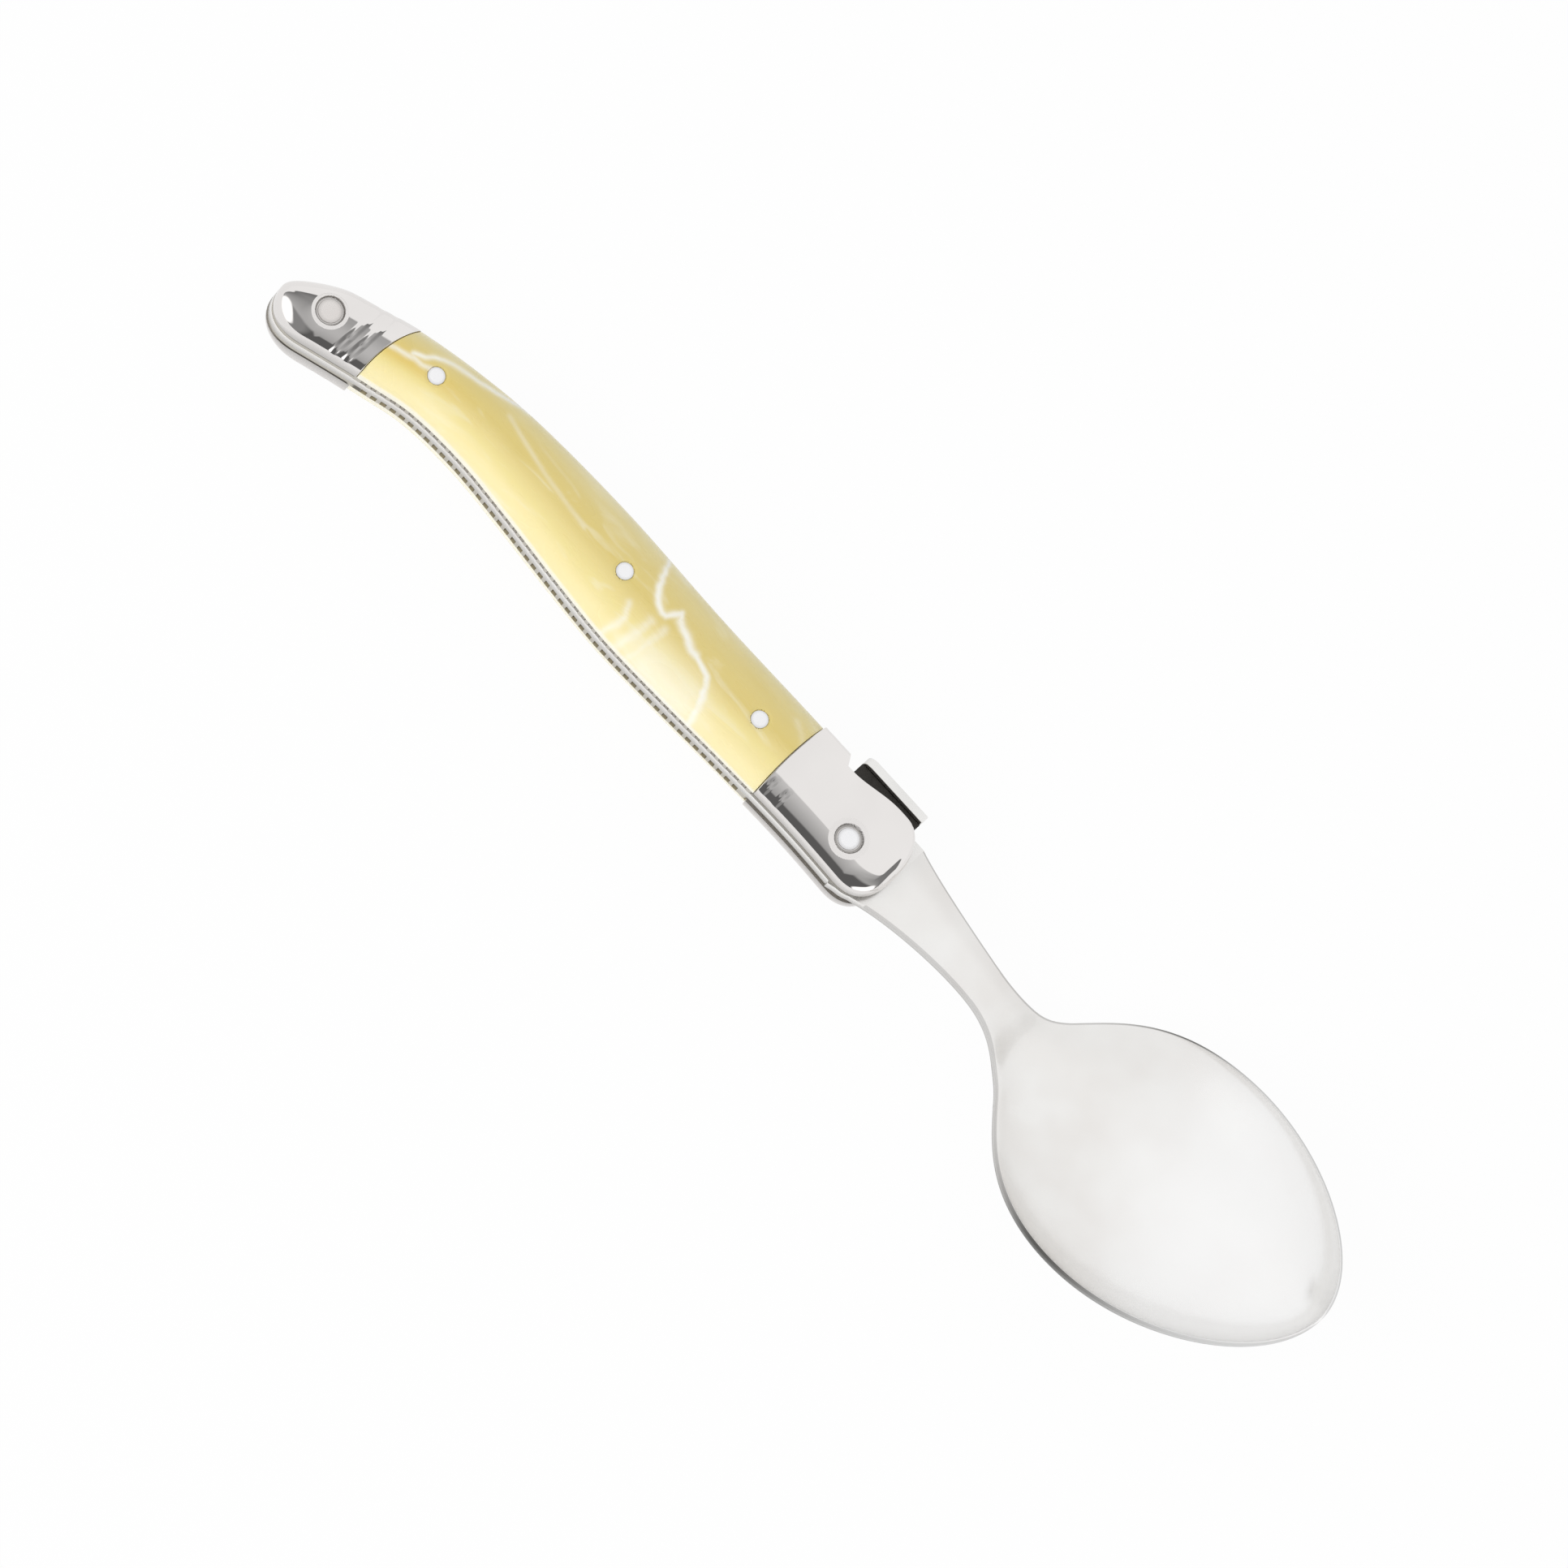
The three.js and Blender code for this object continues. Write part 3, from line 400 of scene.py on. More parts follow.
def blend(tree, factor, a, b):
    made = add(tree, "ShaderNodeMix", {"data_type": "RGBA"}, {0: factor, 6: a, 7: b})
    return made.outputs[2]


def srgb(values):
    """A written colour, 0 to 255, as the linear one that the nodes take."""
    linear = [v / 255 / 12.92 if v <= 10 else ((v / 255 + 0.055) / 1.055) ** 2.4 for v in values]
    return (*linear, 1.0)


def bump(tree, shader, height, strength, distance):
    made = add(tree, "ShaderNodeBump", None, {
        "Strength": strength, "Distance": distance * MM, "Height": height,
    })
    feed(tree, shader, {"Normal": made.outputs["Normal"]})


def attribute(tree, title):
    return add(tree, "ShaderNodeAttribute", {"attribute_name": title}).outputs["Fac"]


# Patches per millimetre of a steel's cloud, and strength of its relief
CLOUD_SCALE, STEEL_RELIEF = 0.12, 0.25
# Painted highlight: steel turns bright along this direction, over these distances in metres, by
# this share
BRIGHT_TOWARD, BRIGHT_RANGE, BRIGHT_SHARE = (1, 0.35, 0), (0.046, 0.066), 0.75
DULL_ROUGHNESS = 0.3


def steel(name, light, dark, metallic, rough, grain, lift, stretch=(1, 1, 1), painted_shade=None,
          painted_highlight=None, dulls=(0.004, 0.03)):
    """Steel with a grain that changes its colour, gloss and relief a little.

    Where a piece says so it turns to the colour of its painted shade, and between the two values
    of dulls it loses its gloss. It takes a painted highlight towards the tip.
    """
    material, tree, shader = new_material(name)
    fine = noise(tree, grain, stretch)
    cloud = noise(tree, CLOUD_SCALE, detail=2)
    colour = blend(tree, spread(tree, cloud, *NOISE_RANGE, 0, 1), srgb(light), srgb(dark))
    gloss = spread(tree, fine, *NOISE_RANGE, *rough)
    if painted_highlight:
        place = add(tree, "ShaderNodeTexCoord").outputs["Object"]
        toward = add(tree, "ShaderNodeVectorMath", {"operation": "DOT_PRODUCT"}, {
            0: place, 1: BRIGHT_TOWARD}).outputs["Value"]
        share = spread(tree, toward, *BRIGHT_RANGE, 0, BRIGHT_SHARE, "SMOOTHSTEP")
        colour = blend(tree, share, colour, srgb(painted_highlight))
    if painted_shade:
        shade_share = attribute(tree, "PaintedShade")
        colour = blend(tree, shade_share, colour, srgb(painted_shade))
        gloss = maths(tree, "MAXIMUM", gloss, spread(tree, shade_share, *dulls, 0, DULL_ROUGHNESS))
    feed(tree, shader, {"Base Color": colour, "Roughness": gloss, "Metallic": metallic})
    bump(tree, shader, fine, STEEL_RELIEF, lift)
    return material


bolster_steel = steel(
    "PolishedSteel", (233, 230, 228), (227, 224, 222), metallic=1.0, rough=(0.001, 0.003),
    grain=1.2, lift=0.0006, painted_shade=(132, 129, 125))
fly_steel = steel(
    "FlySteel", (236, 235, 233), (224, 223, 221), metallic=1.0, rough=(0.14, 0.24), grain=1.2,
    lift=0.001)
# The satin steel takes painted dark reflections on the rim, painted shade on the tang's sides, and
# a painted highlight towards the tip
satin = steel(
    "SatinSteel", (239, 238, 236), (231, 228, 225), metallic=0.75, rough=(0.2, 0.25), grain=3,
    lift=0.0004, stretch=(0.12, 1, 1), painted_shade=(70, 69, 66), painted_highlight=(249, 249, 249),
    dulls=(0.1, 0.3))
liner_steel = steel(
    "LinerSteel", (226, 222, 212), (214, 209, 198), metallic=0.9, rough=(0.25, 0.35), grain=3,
    lift=0.004, painted_shade=(84, 78, 66))
rivet_steel = steel(
    "RivetSteel", (243, 243, 244), (235, 235, 238), metallic=0.9, rough=(0.16, 0.24), grain=3,
    lift=0.002, painted_shade=(150, 148, 146))
# A darker copy of the rivet steel for the rear rivet: painted shade
shaded_rivet_steel = steel(
    "ShadedRivetSteel", (225, 221, 218), (214, 209, 206), metallic=0.9, rough=(0.2, 0.3), grain=3,
    lift=0.002, painted_shade=(150, 147, 144))
# Near black steel for the fly's block: painted shade in the gap under the fly plate
dark_steel = steel(
    "PaintedShadowSteel", (44, 40, 35), (28, 25, 22), metallic=0.3, rough=(0.4, 0.6), grain=2, lift=0.01)

# Colours of the grip from the belly to the back, by place on the ramp: the resin's yellow with
# painted light, a pale painted sheen towards the belly and painted shade towards the back
MARBLE_AND_PAINTED_LIGHT = [
    (0.115, (247, 234, 180)), (0.21, (245, 230, 168)), (0.31, (242, 226, 154)),
    (0.41, (236, 217, 143)), (0.515, (225, 204, 122)), (0.65, (226, 207, 132)),
    (0.77, (232, 217, 155)), (0.885, (246, 236, 194)),
]
DEEP_YELLOW, PALE_STREAK, PALE_VEIN = (230, 200, 92), (249, 243, 215), (252, 250, 238)
# Painted shade along the back edge, a painted highlight along the belly edge, and painted shade on
# the inner face
BACK_SHADE_COLOUR, BELLY_HIGHLIGHT_COLOUR, INNER_SHADE_COLOUR = (186, 172, 112), (253, 251, 241), (176, 166, 138)
CLOUD = {"scale": 0.09, "stretch": (0.6, 1.6, 1), "detail": 4, "twist": 0.6}
STREAK = {"scale": 0.3, "stretch": (0.3, 1.2, 1), "detail": 5, "twist": 1.2}
CLOUD_SHIFT = 0.3
# Each of these spreads a range of a value over a range of shares
STREAK_SHARE, VEIN_SHARE = (0.55, 0.75, 0, 0.4), (0.3, 0.6, 0.75, 1)
BACK_SHADE_SHARE, BELLY_HIGHLIGHT_SHARE = (0.985, 1, 0, 0.22), (0, 0.012, 0.75, 0)
GRIP_ROUGHNESS = (0.24, 0.32)
GRIP_SHADER = {
    "Coat Weight": 0.2, "Coat Roughness": 0.15, "Subsurface Weight": 0.1,
    "Subsurface Radius": (0.0012, 0.001, 0.0006), "Subsurface Scale": 1.0,
}
GRIP_BUMP = (0.1, 0.01)


def ramp_of(tree, value, stops):
    made = add(tree, "ShaderNodeValToRGB", None, {"Fac": value})
    ramp = made.color_ramp
    while len(ramp.elements) < len(stops):
        ramp.elements.new(0.5)
    for element, (place, colour) in zip(ramp.elements, stops):
        element.position = place
        element.color = srgb(colour)
    return made.outputs["Color"]


def marbled(name):
    """Pearly resin: a ramp from the belly to the back that paints light on the belly's side and
    shade on the back's, with clouds, streaks and veins.
    """
    material, tree, shader = new_material(name)
    cloud, streak = noise(tree, **CLOUD), noise(tree, **STREAK)
    across = attribute(tree, "Across")
    wander = maths(tree, "MULTIPLY_ADD", cloud, CLOUD_SHIFT, across)
    colour = ramp_of(tree, spread(tree, wander, 0, 1 + CLOUD_SHIFT, 0, 1), MARBLE_AND_PAINTED_LIGHT)
    vein = maths(tree, "MULTIPLY", attribute(tree, "Vein"), spread(tree, streak, *VEIN_SHARE))
    # A deeper yellow lies along the middle of the rear end. A thin line of painted shade runs
    # along the back edge and a painted highlight along the belly.
    # The inner face, which shows only through the notches of the liners, takes painted shade.
    for share, over in (
        (attribute(tree, "Deep"), DEEP_YELLOW),
        (spread(tree, streak, *STREAK_SHARE, "SMOOTHSTEP"), PALE_STREAK),
        (vein, PALE_VEIN),
        (spread(tree, across, *BACK_SHADE_SHARE, "SMOOTHSTEP"), BACK_SHADE_COLOUR),
        (spread(tree, across, *BELLY_HIGHLIGHT_SHARE), BELLY_HIGHLIGHT_COLOUR),
        (attribute(tree, "Inner"), INNER_SHADE_COLOUR),
    ):
        colour = blend(tree, share, colour, srgb(over))
    gloss = spread(tree, streak, *NOISE_RANGE, *GRIP_ROUGHNESS)
    feed(tree, shader, {"Base Color": colour, "Roughness": gloss, **GRIP_SHADER})
    bump(tree, shader, cloud, *GRIP_BUMP)
    return material


grip = marbled("MarbledGrip")


# ---- stamped plate
PLATE_RUNS = [
    (REAR_ROUND + 0.4, SEAT_REAR - SEAT_STEP, 0.6), (SEAT_REAR + 0.3, FRONT_ROUND_START, 0.4),
    (88.1, 94, 0.15), (94.1, BOWL_MIDDLE - 0.1, 0.22),
]
END_RINGS, NOSE_RINGS, TIP_GAP, SEAT_SPACING = 24, 90, 0.0005, 0.06
TOP_POINTS, LOW_POINTS, CORNER_POINTS = 97, 73, 6
PLATE_EDGE, LEAST_HOLLOW, HOLLOW_MARGIN = 0.1, 0.4, 0.01
# Painted dark reflection on the rim's edge: at least, and how much more on the widest part of each
# side
BELLY_SHADE, BELLY_WIDEST, BELLY_REACH = (0.3, 0.65), 133, (8, 13)
BACK_SHADE, BACK_WIDEST, BACK_REACH = (0.36, 0.5), 128, 5
# Painted shade on the bowl's wall and the tang's sides, on the underside next to the belly edge,
# and on the back half of the hollow
BOWL_WALL_SHADE, TANG_SHADE, UPPER_WALL = (0.2, 0.75), 0.42, (0.6, 0.45)
UNDER_RANGE = (0.9, 0.985)
HOLLOW_SHADE, HOLLOW_RANGE = 0.06, (0.15, 0.85)


def plate_edges(x):
    belly, back = edges_at(np.minimum(x, HANDLE_LENGTH))
    left = HANDLE_LENGTH - x
    run, rise = NECK_CURVE[1]
    taper = (1 - rise) * (NECK_ROOT - NECK_WAIST) / 2 / (run * NECK_LENGTH)
    neck = NECK_ROOT / 2 + taper * left
    near_neck = left <= FRONT_ROUND
    belly = np.where(near_neck, np.minimum(belly, -neck), belly)
    back = np.where(near_neck, np.maximum(back, neck), back)
    back = np.minimum(back, seat_at(x))
    half = at(half_line, x)
    return np.where(x < HANDLE_LENGTH, belly, -half), np.where(x < HANDLE_LENGTH, back, half)


def plate_rings():
    """Rings of the plate, and how much painted shade and painted dark reflection each of their
    points takes.
    """
    nose = np.sin(np.linspace(0, math.pi / 2, NOSE_RINGS))
    nose = BOWL_MIDDLE + (TIP - BOWL_MIDDLE) * nose
    nose[-1] = TIP - TIP_GAP
    ends = [round_end(REAR_ROUND, END_RINGS), seat_step(SEAT_SPACING), nose]
    x = stations(ends, PLATE_RUNS)[:, None]
    belly, back = plate_edges(x)
    middle, half = (back + belly) / 2, (back - belly) / 2
    rim = np.where(x < HANDLE_LENGTH, PLATE_FACE, at(rim_line, x))
    hollow = np.maximum(at(hollow_line, x), half * LEAST_HOLLOW)
    inside = at(depth_line, x) * (x > HOLLOW_START)
    stretched = HOLLOW_START + HOLLOW_LENGTH * (x - HOLLOW_START) / (HOLLOW_LENGTH + RIM_LAND)
    outside = at(depth_line, stretched) * (x > HOLLOW_START)
    thinner = smooth(x, BOWL_START, BOWL_MIDDLE)
    thick = PLATE_THICKNESS + (RIM_THICKNESS - PLATE_THICKNESS) * thinner
    edge = np.minimum(np.where(x < HANDLE_LENGTH, PLATE_EDGE, RIM_EDGE), half / 2)
    flatter = smooth(x, HOLLOW_START, BOWL_MIDDLE)
    steep = HEEL_STEEPNESS + (HOLLOW_STEEPNESS - HEEL_STEEPNESS) * flatter

    def sunk(share):
        return (1 - np.abs(share) ** HOLLOW_FULLNESS) ** steep

    top_share = np.cos(np.linspace(0, math.pi, TOP_POINTS))[None]
    low_turn = np.cos(np.linspace(0, math.pi, LOW_POINTS))[None]
    corner = np.linspace(0, math.pi / 2, CORNER_POINTS)[None]
    flat = half - edge
    inner_half = np.where(x < HOLLOW_START - HOLLOW_MARGIN, flat, np.minimum(hollow, flat))
    corner_y, corner_z = edge * (1 - np.cos(corner)), edge * (1 - np.sin(corner))
    low_share = -low_turn * (1 - PLATE_EDGE / half * (half > 3 * PLATE_EDGE))
    foot = rim - thick + PLATE_EDGE
    front = 1.0 * (x > HANDLE_LENGTH)
    widest = bell(x, BELLY_WIDEST, np.where(x < BELLY_WIDEST, *BELLY_REACH))
    belly_side = front * sloped(BELLY_SHADE, widest)
    back_side = front * sloped(BACK_SHADE, bell(x, BACK_WIDEST, BACK_REACH))
    wall = np.where(front > 0, sloped(BOWL_WALL_SHADE, belly_side), TANG_SHADE)
    # Each part of a ring: across, height and how much painted shade it takes
    parts = [
        (middle + half - corner_y, rim - corner_z, back_side),
        (middle + top_share * inner_half, rim - inside * sunk(top_share),
         front * HOLLOW_SHADE * smooth(top_share, *HOLLOW_RANGE)),
        (middle - half + corner_y[:, ::-1], rim - corner_z[:, ::-1], belly_side),
        (middle - half, rim - (edge + thick - PLATE_EDGE) / 2, wall * sloped(UPPER_WALL, widest)),
        (middle - half, foot, wall),
        (middle + low_share * half, rim - thick - outside * sunk(low_share),
         belly_side * smooth(low_turn, *UNDER_RANGE)),
        (middle + half, foot, back_side),
    ]
    y, z, shade_share = [
        np.concatenate([np.broadcast_to(p[k], p[0].shape) for p in parts], axis=1)
        for k in range(3)
    ]
    return np.stack([np.broadcast_to(x, y.shape), y, z], axis=-1), shade_share


rings, shade_share = plate_rings()
points, faces = tube(rings)
made = piece("StampedSpoon", points, faces, ["spoon_bowl_and_tang"], "satin_steel", satin)
shade(made, "PaintedShade", shade_share)


# ---- liners
LINER_START, LINER_SPACING, NOTCH_SPACING, END_SPACING = 4.9, 0.3, 0.055, 0.2
NOTCH_MARGIN, NOTCH_FLAT = 0.4, 0.3
END_MARGIN, INSET_LIMIT, LINER_EDGE = 0.009, 0.2, 0.07
# Heights on a liner's side: below the first no painted shade from the seam, from the second part
# of it
CLEAR_Z, SEAM_SHADE_Z = PLATE_FACE + 0.55, LINER_FACE - 0.25
# Painted shade on a liner: at its edge, in its notches, along the rear bolster, under both
# bolsters
PLAIN_DARK, NOTCH_DARK = (0.32, 0.3), (0.35, 0.65)
SEAM_DARK, SEAM_RUN, SEAM_FADE = 0.95, (2.5, 5), 0.6
HIDDEN_FRONT, HIDDEN_REAR = 0.5, 0.9
FAR_PATCH_DARK, FAR_PATCH_PLACE, FAR_PATCH_REACH = 0.9, REAR_JOINT + 1, 0.5


def liner_rings(stagger, notch_depth, notch_shade):
    """Rings of a liner, and how much painted shade its edge takes at each of their points."""
    first = REAR_JOINT + NOTCH_PITCH + stagger * NOTCH_PITCH
    last = FRONT_JOINT - NOTCH_PITCH / 2
    x = stations([
        LINER_SETBACK + round_end(REAR_ROUND, END_RINGS),
        HANDLE_LENGTH - LINER_SETBACK - round_end(FRONT_ROUND, END_RINGS),
        spaced(last + NOTCH_MARGIN, FRONT_ROUND_START, END_SPACING), seat_step(SEAT_SPACING),
    ], [
        (LINER_START, first - NOTCH_MARGIN, LINER_SPACING),
        (first - NOTCH_MARGIN, last + NOTCH_MARGIN, NOTCH_SPACING),
    ], LINER_DIGITS)
    under_rear = 1 - smooth(x, REAR_JOINT - SETBACK_RAMP, REAR_JOINT)
    under_front = smooth(x, FRONT_JOINT, FRONT_JOINT + SETBACK_RAMP)
    setback = REAR_SETBACK * under_rear + LINER_SETBACK * under_front
    middle = HANDLE_LENGTH / 2
    outline = middle + (x - middle) * middle / (middle - setback)
    belly, back = edges_at(np.clip(outline, END_MARGIN, HANDLE_LENGTH - END_MARGIN))
    inset = np.minimum(setback, (back - belly) * INSET_LIMIT)
    phase = (x - first + NOTCH_PITCH / 2) % NOTCH_PITCH - NOTCH_PITCH / 2
    cut = 1 - smooth(np.abs(phase), NOTCH_WIDTH * NOTCH_FLAT, NOTCH_WIDTH / 2)
    count = round((last - first) // NOTCH_PITCH)
    in_row = (x > first - NOTCH_MARGIN) * (x < first + count * NOTCH_PITCH + NOTCH_MARGIN)
    cut = cut * in_row
    low = belly + inset + notch_depth * cut
    high = np.minimum(back - inset, seat_at(x))
    edge = np.minimum(LINER_EDGE, (high - low) / 4)
    seam = SEAM_DARK * under_rear * smooth(x, *SEAM_RUN)
    hidden = HIDDEN_FRONT * under_front + HIDDEN_REAR * seam
    plain = sloped(PLAIN_DARK, under_front)
    toward_front = smooth(x, REAR_JOINT, FRONT_JOINT)
    side = plain + notch_shade * sloped(NOTCH_DARK, toward_front) * cut
    # The far liner darkens just in front of the rear bolster
    far_patch = np.exp(-((x - FAR_PATCH_PLACE) / FAR_PATCH_REACH) ** 4)
    side = side + (stagger > 0) * FAR_PATCH_DARK * far_patch
    inner_z, outer_z = PLATE_FACE + LINER_EDGE, LINER_FACE - LINER_EDGE
    ring = [
        (low, inner_z, side), (low + edge, PLATE_FACE, hidden),
        (high - edge, PLATE_FACE, hidden), (high, inner_z, plain),
        (high, CLEAR_Z, plain), (high, SEAM_SHADE_Z, plain + SEAM_FADE * seam),
        (high, outer_z, plain + seam), (high - edge, LINER_FACE, hidden),
        (low + edge, LINER_FACE, hidden), (low, outer_z, side + seam),
        (low, SEAM_SHADE_Z, side + SEAM_FADE * seam), (low, CLEAR_Z, side),
    ]
    rings = [np.stack([x, y, np.full(x.shape, z)], axis=-1) for y, z, dark in ring]
    return np.stack(rings, axis=1), np.stack([dark for y, z, dark in ring], axis=1)


for name, stagger, notch_depth, notch_shade, mirror in (
    ("Near", 0, NEAR_NOTCH_DEPTH, 0.1, False), ("Far", 0.5, FAR_NOTCH_DEPTH, 0.75, True),
):
    rings, dark = liner_rings(stagger, notch_depth, notch_shade)
    points, faces = tube(rings)
    made = piece("Liner" + name, points, faces, ["liner_" + name.lower()], "liner_steel",
                 liner_steel, mirror)
    shade(made, "PaintedShade", dark)


# ---- bolsters
BOLSTER_POINTS, BOLSTER_END_RINGS, JOINT_PASSES, LEAST_REACH = 150, 56, 3, 1e-3
REAR_JOINT_REACH, FRONT_JOINT_REACH = 5, 4
GROOVE_FLAT, GROOVE_FADE_START = 0.12, 0.9
# Inner and outer width of the slopes at a collar and at a ring
COLLAR_SLOPE, RING_SLOPE = (0.14, 0.04), (0.1, 0.03)
# Painted shade in the sunk ring, on the collar and on the walls, and how soft its edges are at the
# head and the collar
RING_SHADE, COLLAR_SHADE, BOLSTER_WALL_SHADE, HEAD_BLUR, COLLAR_BLUR = 0.8, 0.04, 0.5, 0.12, 0.1
FRONT_RUNS = [
    (FRONT_JOINT + 0.18, FRONT_JOINT + 4, 0.09), (FRONT_JOINT + 4, 88.5, 0.16),
    near(FRONT_RIVET[0], 2.6, 0.065),
]
REAR_RUNS = [(3.3, REAR_JOINT - 0.15, 0.085), near(REAR_RIVET[0], 2.45, 0.065)]
BOLSTER_SEAT_SPACING = 0.07


def rear_joint_at(y, gap=0):
    radius = REAR_JOINT_RADIUS - gap
    return REAR_JOINT + REAR_JOINT_RADIUS - np.sqrt(radius ** 2 - (y - REAR_JOINT_Y) ** 2)


def front_joint_at(y, gap=0):
    radius = FRONT_JOINT_RADIUS + gap
    return FRONT_JOINT + FRONT_JOINT_RADIUS - np.sqrt(radius ** 2 - (y - FRONT_JOINT_Y) ** 2)


def half_width(x):
    belly, back = edges_at(x)
    return (back - belly) / 2


def crown_grid(places, joints, count, walls, height, shoulder, groove, inset, fade=0, seat=False):
    """Top points of a rounded bar whose ends follow bowed joints: list of (place, line, reach).

    walls gives the heights of the belly's and the back's wall, and height that of the top. fade
    is how far the grooves die out on the flat top.
    """
    share = (1 - np.cos(np.linspace(0, math.pi, count)))[None] / 2
    nominal = places[:, None]
    x = np.broadcast_to(nominal, (len(places), count)).copy()
    for _ in range(JOINT_PASSES):
        belly, back = edges_at(x)
        top = np.minimum(back, seat_at(x)) if seat else back
        y = top + (belly - top) * share
        x = np.broadcast_to(nominal, y.shape).copy()
        for place, line, reach in joints:
            pull = np.clip(1 - np.abs(nominal - place) / reach, 0, 1)
            x = x + pull * (line(y) - place)
    belly, back = edges_at(x)
    sunk = inset(x, y)
    reach = np.maximum(np.minimum(shoulder(x), (back - belly) / 2) - sunk, LEAST_REACH)
    outer_belly, outer_back = belly + sunk, back - sunk
    top = np.minimum(outer_back, seat_at(x)) if seat else outer_back
    y = np.clip(y, outer_belly, top)
    rim = np.maximum(np.minimum(outer_back - y, y - outer_belly), 0)
    belly_wall, back_wall = walls(x)
    wall = np.where(y - outer_belly < outer_back - y, belly_wall, back_wall)
    rise = quarter(rim, reach)
    cut = groove(x) * np.sqrt(rise) * (1 - fade * smooth(rise, GROOVE_FADE_START, 1))
    return x, y, LINER_FACE + wall + (height(x) - wall - sunk) * rise - cut


def groove_depth(x, places, width, depth):
    nearest = np.min([np.abs(x - p) for p in places], axis=0)
    return depth * (1 - smooth(nearest, GROOVE_FLAT * width, width / 2))


def beyond(far, radius, slope):
    """0 within a radius and 1 beyond it, with a slope between."""
    return smooth(far, radius - slope[0], radius + slope[1])


def seated(x, y, z, place, seat, plateau):
    """Body of a bolster with its rivet's seat, and how much painted shade each of its points
    takes.

    The seat is a collar raised to the plateau, with a ring sunk into it.
    """
    head, ring, collar = seat
    far = np.hypot(x - place[0], y - place[1])
    z = z + (np.maximum(z, plateau) - z) * (1 - beyond(far, collar, COLLAR_SLOPE))
    z = z + (plateau - RING_DEPTH - z) * (1 - beyond(far, ring, RING_SLOPE))
    points, faces = crowned(np.stack([x, y, z], axis=-1), LINER_FACE)
    # Painted shade: darkest in the sunk ring, faint on the collar and the head
    painted_shade = RING_SHADE - (RING_SHADE - COLLAR_SHADE) * beyond(far, ring, RING_SLOPE)
    painted_shade = smooth(far, head, head + HEAD_BLUR) * painted_shade + COLLAR_SHADE * (far < head)
    painted_shade = painted_shade * (1 - smooth(far, collar, collar + COLLAR_BLUR))
    # The walls take painted shade down to the liners
    return points, faces, np.concatenate([painted_shade, painted_shade * 0 + BOLSTER_WALL_SHADE], axis=1)


def bevel_inset(distance):
    left = np.clip(1 - distance / JOINT_BEVEL, 0, 1)
    return JOINT_BEVEL * (1 - np.sqrt(1 - left * left))


def front_bolster():
    places = stations([
        FRONT_JOINT + BEVEL_STATIONS, seat_step(BOLSTER_SEAT_SPACING),
        HANDLE_LENGTH - round_end(FRONT_ROUND, BOLSTER_END_RINGS),
    ], FRONT_RUNS, TOP_DIGITS)
    x, y, z = crown_grid(
        places, [(FRONT_JOINT, front_joint_at, FRONT_JOINT_REACH)], BOLSTER_POINTS,
        lambda x: (FRONT_WALL, FRONT_WALL),
        lambda x: FRONT_WALL + FRONT_CROWN * quarter(HANDLE_LENGTH - x, FRONT_END_SHOULDER),
        lambda x: FRONT_SHOULDER,
        lambda x: groove_depth(x, *FRONT_GROOVES),
        lambda x, y: bevel_inset(x - front_joint_at(y)),
        fade=FRONT_FADE, seat=True,
    )
    return seated(x, y, z, FRONT_RIVET, FRONT_SEAT, FRONT_PLATEAU)


def rear_bolster():
    places = stations([
        round_end(REAR_ROUND, BOLSTER_END_RINGS), REAR_JOINT - BEVEL_STATIONS,
    ], REAR_RUNS, TOP_DIGITS)

    def walls(x):
        run = smooth(x, *REAR_WALL_RUN)
        return [REAR_NOSE_WALL + (full - REAR_NOSE_WALL) * run
                for full in (REAR_BELLY_WALL, REAR_BACK_WALL)]

    def height(x):
        belly_wall = walls(x)[0]
        return belly_wall + (REAR_HEIGHT - belly_wall) * quarter(x, REAR_NOSE)

    x, y, z = crown_grid(
        places, [(REAR_JOINT, rear_joint_at, REAR_JOINT_REACH)], BOLSTER_POINTS, walls, height,
        lambda x: half_width(x) * REAR_SHOULDER,
        lambda x: groove_depth(x, *REAR_GROOVES),
        lambda x, y: bevel_inset(rear_joint_at(y) - x),
        fade=REAR_FADE,
    )
    return seated(x, y, z, REAR_RIVET, REAR_SEAT, REAR_PLATEAU)


for name, (points, faces, painted_shade) in (("front", front_bolster()), ("rear", rear_bolster())):
    for side, mirror in (("near", False), ("far", True)):
        made = piece(name.title() + "Bolster" + side.title(), points, faces,
                     [f"{name}_bolster_{side}"], "polished_steel", bolster_steel, mirror)
        shade(made, "PaintedShade", painted_shade)


# ---- scales
SCALE_POINTS, SCALE_SPACING = 130, 0.2
PIN_REACH, PIN_SPACING = 1.5, 0.07
DIP_DEPTH, DIP_OFFSET, DIP_WIDTH = 0.06, 0.12, 0.13
PIN_SINK, PIN_MARGIN = 0.3, 0.03
INNER_MARGIN = 0.02
DEEP_SHARE, DEEP_RUN, DEEP_PLACE, DEEP_REACH = 0.75, (14, 27), 0.46, 0.13


def scale_wall(x):
    share = (x - REAR_JOINT) / (FRONT_JOINT - REAR_JOINT)
    return SCALE_REAR_WALL + (SCALE_FRONT_WALL - SCALE_REAR_WALL) * share


